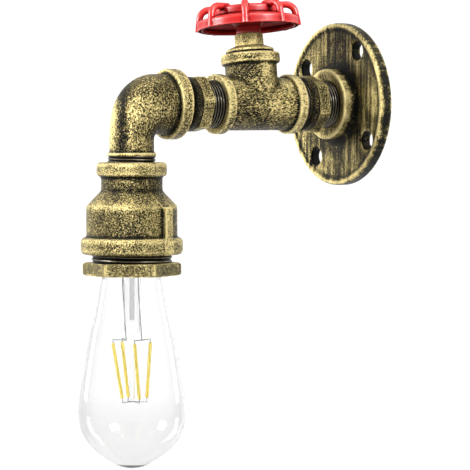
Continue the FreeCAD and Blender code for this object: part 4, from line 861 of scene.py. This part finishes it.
def bell_lift(x, y, z):
    """Bright beads, shoulder and rib, a painted highlight on the right side; a darker neck."""
    down = -z - BELL_TOP
    radius = math.hypot(x, y + DROP_AXIS)
    off_rib = abs(math.degrees(math.atan2(y + DROP_AXIS, x)) - RIB_ANGLE)
    bead = fade(down, *BEAD_END)
    neck = rise(down, *NECK_START) * fade(down, *NECK_END)
    shoulder = hump(down, SHOULDER_PLACE, SHOULDER_SPREAD)
    foot = rise(-z - BELL_END, *FOOT_START)
    # painted highlight on the right side
    right = hump(rightward(x, y + DROP_AXIS), RIGHT_HIGHLIGHT_PLACE, RIGHT_HIGHLIGHT_SPREAD) * rise(down, *BODY_START)
    rib = fade(off_rib, *RIB_SIDE) * rise(radius, *RIB_REACH)
    bands = 0.20 * bead - 0.04 * neck + 0.22 * shoulder + 0.15 * foot
    return bands + 0.10 * right + 0.35 * rib + 0.5 * seam(x, y, z)


def wheel_lift(x, y, z):
    """Painted shade under the wheel, and a hub painted lighter as painted light."""
    spot, height = on_valve(x, y, z)
    reach = (spot - VALVE_AXIS * height).length
    # painted shade under the wheel
    under = fade(height, *UNDER_SHADE_HEIGHT) * fade(reach, *WHEEL_RIM)
    # the hub is painted lighter instead, as painted light
    return -0.42 * under * (1 - 1.25 * fade(reach, *LIGHTER_HUB_REACH))


def make_fittings():
    """Cast pieces: soft skins over the CAD shapes, and the thread of the elbow's leg."""
    skin = 0.5
    relief = 0.12
    flange = cast_skin("flange_skin", "wall_flange", skin, 0.08, flange_lift, flange_carve)
    fit(flange, "bronzed_flange", node="wall_flange")
    tee = cast_skin("tee_skin", "valve_tee", skin, relief, tee_lift)
    fit(tee, "bronzed_arm", node="valve_tee")
    elbow = cast_skin("elbow_skin", "street_elbow", skin, relief, elbow_lift, elbow_carve)
    fit(elbow, "bronzed_bend", node="street_elbow")
    thread_start = LEG_RING_END - 2 * SEAM_OVERLAP
    thread = helix("leg_thread", LEG_THREAD, PIPE_PITCH, thread_start, BELL_TOP + 2, drop, LEG_BORE)
    fit(thread, "thread")
    bell = cast_skin("bell_skin", "reducing_socket", skin, relief, bell_lift, bell_carve)
    fit(bell, "bronzed", node="reducing_socket")
    wheel = cast_skin("wheel_skin", "handwheel", 0.4, 0.06, wheel_lift)
    fit(wheel, "red", "handwheel", "handwheel")


def make_nipple(label, start, first_corner, far_end, lift=0.0):
    """A hexagon nipple: long black thread, gold hexagon, dark collar and short thread."""
    collar_start = far_end - FAR_THREAD - COLLAR_LENGTH
    collar_end = collar_start + COLLAR_LENGTH
    hex_start = collar_start - HEX_LENGTH
    corner = math.radians(first_corner)
    threads = [("_long_thread", start - HIDDEN_THREAD, hex_start + SEAM_OVERLAP, label),
               ("_short_thread", collar_end - SEAM_OVERLAP, far_end + HIDDEN_THREAD, None)]
    for ending, first, last, node in threads:
        thread = helix(label + ending, THREAD_RADIUS, PIPE_PITCH, first, last, arm, PIPE_BORE)
        fit(thread, "thread", node=node)
    nut = hexagon(label + "_hex", NIPPLE_FLATS, corner, hex_start, collar_start, arm, PIPE_BORE, lift=lift)
    fit(nut, "bronzed_hex")
    near_round, far_round = 0.4, 0.8
    outline = [(PIPE_BORE, collar_end), (COLLAR_RADIUS, collar_end, far_round),
               (COLLAR_RADIUS, collar_start, near_round), (PIPE_BORE, collar_start)]
    fit(lathe(label + "_collar", outline, arm), "bronzed_dark")


def make_bushing():
    """The hexagon bushing round the bulb: black thread above, chamfered hexagon below."""
    hex_top = BELL_END + BUSHING_GAP
    first, last = BELL_END - 5, hex_top + SEAM_OVERLAP
    thread = helix("bushing_thread", BUSHING_THREAD, BUSHING_PITCH, first, last, drop, BUSHING_THREAD_BORE)
    fit(thread, "thread", node="hex_bushing")
    corner = math.radians(BUSHING_CORNER)
    nut = hexagon("bushing_hex", BUSHING_FLATS, corner, hex_top, BUSHING_END, drop, BUSHING_BORE,
                  BUSHING_CHAMFER)
    fit(nut, "bronzed_hex")


def make_valve():
    """A dark ring of painted shadow below the bonnet's collar, the collar, and the gland nut; collar and nut
    are painted lighter as painted light under the wheel.
    """
    inner = 10.0
    shadow_ring = [(inner, SHADOW_RING_BOTTOM), (SHADOW_RING_REACH, SHADOW_RING_BOTTOM), (SHADOW_RING_REACH, SHADOW_RING_TOP), (inner, SHADOW_RING_TOP)]
    # painted shadow: a dark ring below the collar
    fit(lathe("bonnet_shadow_ring", shadow_ring, valve, lift=-0.4), "bronzed_dark")
    low_round, top_round = 0.3, 0.5
    collar = [(inner + 2, BONNET_BOTTOM), (BONNET_REACH, BONNET_BOTTOM, low_round),
              (BONNET_REACH, BONNET_EDGE, top_round), (BONNET_SHOULDER, BONNET_TOP),
              (BONNET_BORE, BONNET_TOP)]
    # the collar is painted lighter as painted light
    fit(lathe("bonnet_collar", collar, valve, lift=0.1), "bronzed_painted_light")
    corner = math.radians(GLAND_CORNER)
    # the gland nut is painted lighter as painted light
    nut = hexagon("gland_hex", GLAND_FLATS, corner, BONNET_TOP, GLAND_TOP, valve, GLAND_BORE,
                  GLAND_CHAMFER, lift=0.14)
    fit(nut, "bronzed_painted_light", node="gland_nut")


# ---------------------------------------------------------------- bulb

def in_bulb(across, towards, down):
    """A point of the bulb: to the photograph's right, towards its camera, and down from the arm."""
    return (ASIDE * across - AHEAD * towards + Vector((0, -DROP_AXIS, -down))) * MM


def oval(wide, thin, down):
    """A level ring of the glass press, wider than it is thick."""
    count = 48
    turns = [TAU * j / count for j in range(count)]
    return [in_bulb(math.cos(turn) * wide, math.sin(turn) * thin, down) for turn in turns]


def make_stem():
    """The stem's thin tube and rough flat press, its rod, and the fine exhaust tube inside."""
    wall = 0.35
    press_top = STEM_TOP + 41.0
    flare = [(11.0, STEM_TOP), (8.0, STEM_TOP + 4.5), (6.0, STEM_TOP + 9), (5.0, STEM_TOP + 20),
             (4.6, press_top)]
    tube = [(radius - wall, down) for radius, down in flare] + flare[::-1]
    fit(lathe("stem_tube", tube, drop, step=2.0), "stem_glass", "bulb", "bulb_stem")
    inner = 1.1
    outer = inner + wall
    exhaust = [(inner, STEM_TOP + 1), (inner, press_top - 1), (outer, press_top - 1), (outer, STEM_TOP + 1)]
    fit(lathe("exhaust_tube", exhaust, drop, step=4.0), "stem_glass", "bulb")
    # Half widths of the press and how far each ring is below its top
    press = [(4.4, 2.6, 0.2), (4.7, 2.0, 1.6), (4.4, 2.2, 3.0), (4.8, 1.9, 4.4), (4.5, 2.0, 5.6),
             (3.4, 1.8, 6.6), (1.5, 1.5, 7.4), (1.4, 1.4, 9.0)]
    rod = [(1.4, 1.0), (0.8, 0.3), (0.8, 0.0)]
    rows = [oval(wide, thin, press_top + down) for wide, thin, down in press]
    rows += [oval(radius, radius, ROD_END - up) for radius, up in rod]
    glass_press = grid("press_and_rod", rows, [PLAIN_WEAR] * len(rows), smooth_angle=180)
    fit(glass_press, "stem_glass", "bulb")


def make_filaments():
    """Four coated filaments, their two leads, bent arms and the lower hooks."""
    filament_radius, lead_radius, hook_radius = 1.0, 0.24, 0.2
    past_end, hub_drop, bend_rise, tip_rise = 0.8, 2.6, 1.5, 2.0
    top = -high("bulb_filaments", Z)
    end = -low("bulb_filaments", Z) + past_end
    hub = end + hub_drop
    bend = top - bend_rise
    # Head and foot of each filament, then each lead, as (to the right, towards the camera)
    spots = [((-11.2, 3.4), (-5.7, 2.6)), ((-6.2, -9.0), (-2.5, -6.6)), ((1.9, 10.2), (4.5, 7.0)),
             ((10.8, -3.2), (8.7, -2.2))]
    leads = [(-3.5, 0.0), (5.7, 0.0)]
    for n, (head, foot) in enumerate(spots):
        number = n + 1
        first = n == 0
        upper = in_bulb(*head, top)
        lower = in_bulb(*foot, end)
        filament = wire("filament_%d" % number, [upper.lerp(lower, k / 8) for k in range(9)], filament_radius)
        fit(filament, "filament", "bulb", "bulb_filaments" if first else None)
        corner = in_bulb(*leads[n // 2], bend)
        tip = in_bulb(*head, top - tip_rise)
        bent = [corner, corner.lerp(tip, 0.5), tip, upper.lerp(lower, 0.03)]
        support = wire("arm_%d" % number, bent, lead_radius)
        fit(support, "lead_wire", "bulb", "bulb_support_wires" if first else None)
        hook = in_bulb(*foot, hub)
        middle = in_bulb(0.6, 0.0, hub - 0.6)
        hooked = [lower, hook, hook.lerp(middle, 0.5), middle]
        fit(wire("hook_%d" % number, hooked, hook_radius), "lead_wire", "bulb")
    for n, (across, towards) in enumerate(leads):
        path = [in_bulb(across - 2.2, towards + 0.5, STEM_TOP + 3),
                in_bulb(across - 1.9, towards + 0.3, STEM_TOP + 22),
                in_bulb(across - 0.3, towards, top - 8),
                in_bulb(across, towards, bend)]
        fit(wire("lead_%d" % (n + 1), path, lead_radius), "lead_wire", "bulb")


# ---------------------------------------------------------------- stage, lights and camera

def make_backdrop():
    """Pale paper: a floor that curves up into a wall."""
    below = 0.9
    half_width = 4.0
    front, curve_start, curve_radius, wall_top = -4.0, 1.8, 0.4, 4.0
    curve_steps = 16
    floor_level = cad_box[0].z - below
    profile = [(front, 0.0), (curve_start, 0.0)]
    for n in range(1, curve_steps + 1):
        angle = math.pi / 2 * n / curve_steps
        profile.append((curve_start + curve_radius * math.sin(angle), curve_radius * (1 - math.cos(angle))))
    profile.append((curve_start + curve_radius, wall_top))
    points = [ASIDE * across + AHEAD * along + Vector((0, 0, floor_level + up))
              for across in (-half_width, half_width) for along, up in profile]
    count = len(profile)
    faces = [(i, i + 1, count + i + 1, count + i) for i in range(count - 1)]
    backdrop = mesh_object("backdrop", points, faces)
    material, tree, shader = new_material("studio_paper")
    grain = noise(tree, position(tree), scale=30.0, detail=2.0, roughness=0.5)
    tree.links.new(ramp(tree, grain, PAPER_RAMP), shader.inputs["Base Color"])
    shader.inputs["Roughness"].default_value = 0.9
    backdrop.data.materials.append(material)


def light_studio():
    """A dim white world and soft square lamps on the object and on the paper, in metres and watts."""
    world = bpy.data.worlds.new("studio")
    bpy.context.scene.world = world
    world.use_nodes = True
    world.node_tree.nodes["Background"].inputs["Color"].default_value = (1, 1, 1, 1)
    world.node_tree.nodes["Background"].inputs["Strength"].default_value = 0.22
    target = Vector((0, -0.09, -0.07))
    paper = target + AHEAD * 1.9
    # Name, place from the target as (ahead, to the right, up), what it is aimed at, size, power
    lamps = [
        ("key", (-0.72, 0.75, 0.60), target, 0.40, 19.0),
        ("left", (-0.30, -1.10, 0.35), target, 0.40, 23.0),
        ("top", (-0.35, 0.10, 1.20), target, 0.50, 5.0),
        ("paper_left", (0.9, -1.3, 0.4), paper, 1.0, 12.0),
        ("paper_right", (0.9, 1.3, 0.4), paper, 1.0, 12.0),
    ]
    for name, (along, across, up), aim, size, power in lamps:
        spot = target + AHEAD * along + ASIDE * across + Vector((0, 0, up))
        light = bpy.data.lights.new(name, "AREA")
        light.size = size
        light.energy = power
        lamp = bpy.data.objects.new(name, light)
        lamp.location = spot
        lamp.rotation_mode = "QUATERNION"
        lamp.rotation_quaternion = (aim - spot).to_track_quat("-Z", "Y")
        lamp.visible_camera = False
        bpy.context.scene.collection.objects.link(lamp)
    bpy.context.scene.view_settings.view_transform = "Standard"


def add_camera():
    """The photograph's view: a long lens level with the arm, tilted slightly down."""
    camera = bpy.data.cameras.new("camera")
    camera.sensor_width = SENSOR
    camera.lens = SENSOR * PHOTO_FOCAL / PHOTO_SIZE
    camera.clip_end = 20
    eye = bpy.data.objects.new("camera", camera)
    eye.location = Vector(EYE) * MM
    tilt = math.atan((PHOTO_MIDDLE - PHOTO_LEVEL) / PHOTO_FOCAL)
    gaze = AHEAD * math.cos(tilt) - Vector((0, 0, math.sin(tilt)))
    eye.rotation_mode = "QUATERNION"
    eye.rotation_quaternion = gaze.to_track_quat("-Z", "Y")
    bpy.context.scene.collection.objects.link(eye)
    bpy.context.scene.camera = eye


add_camera()
make_backdrop()
light_studio()
dress_frame()
make_fittings()
make_nipple("rear_nipple", FLANGE_TOP, REAR_CORNER, TEE_START)
make_nipple("front_nipple", TEE_END, FRONT_CORNER, ELBOW_FACE, FRONT_HEX_LIFT)
make_bushing()
make_valve()
make_stem()
make_filaments()
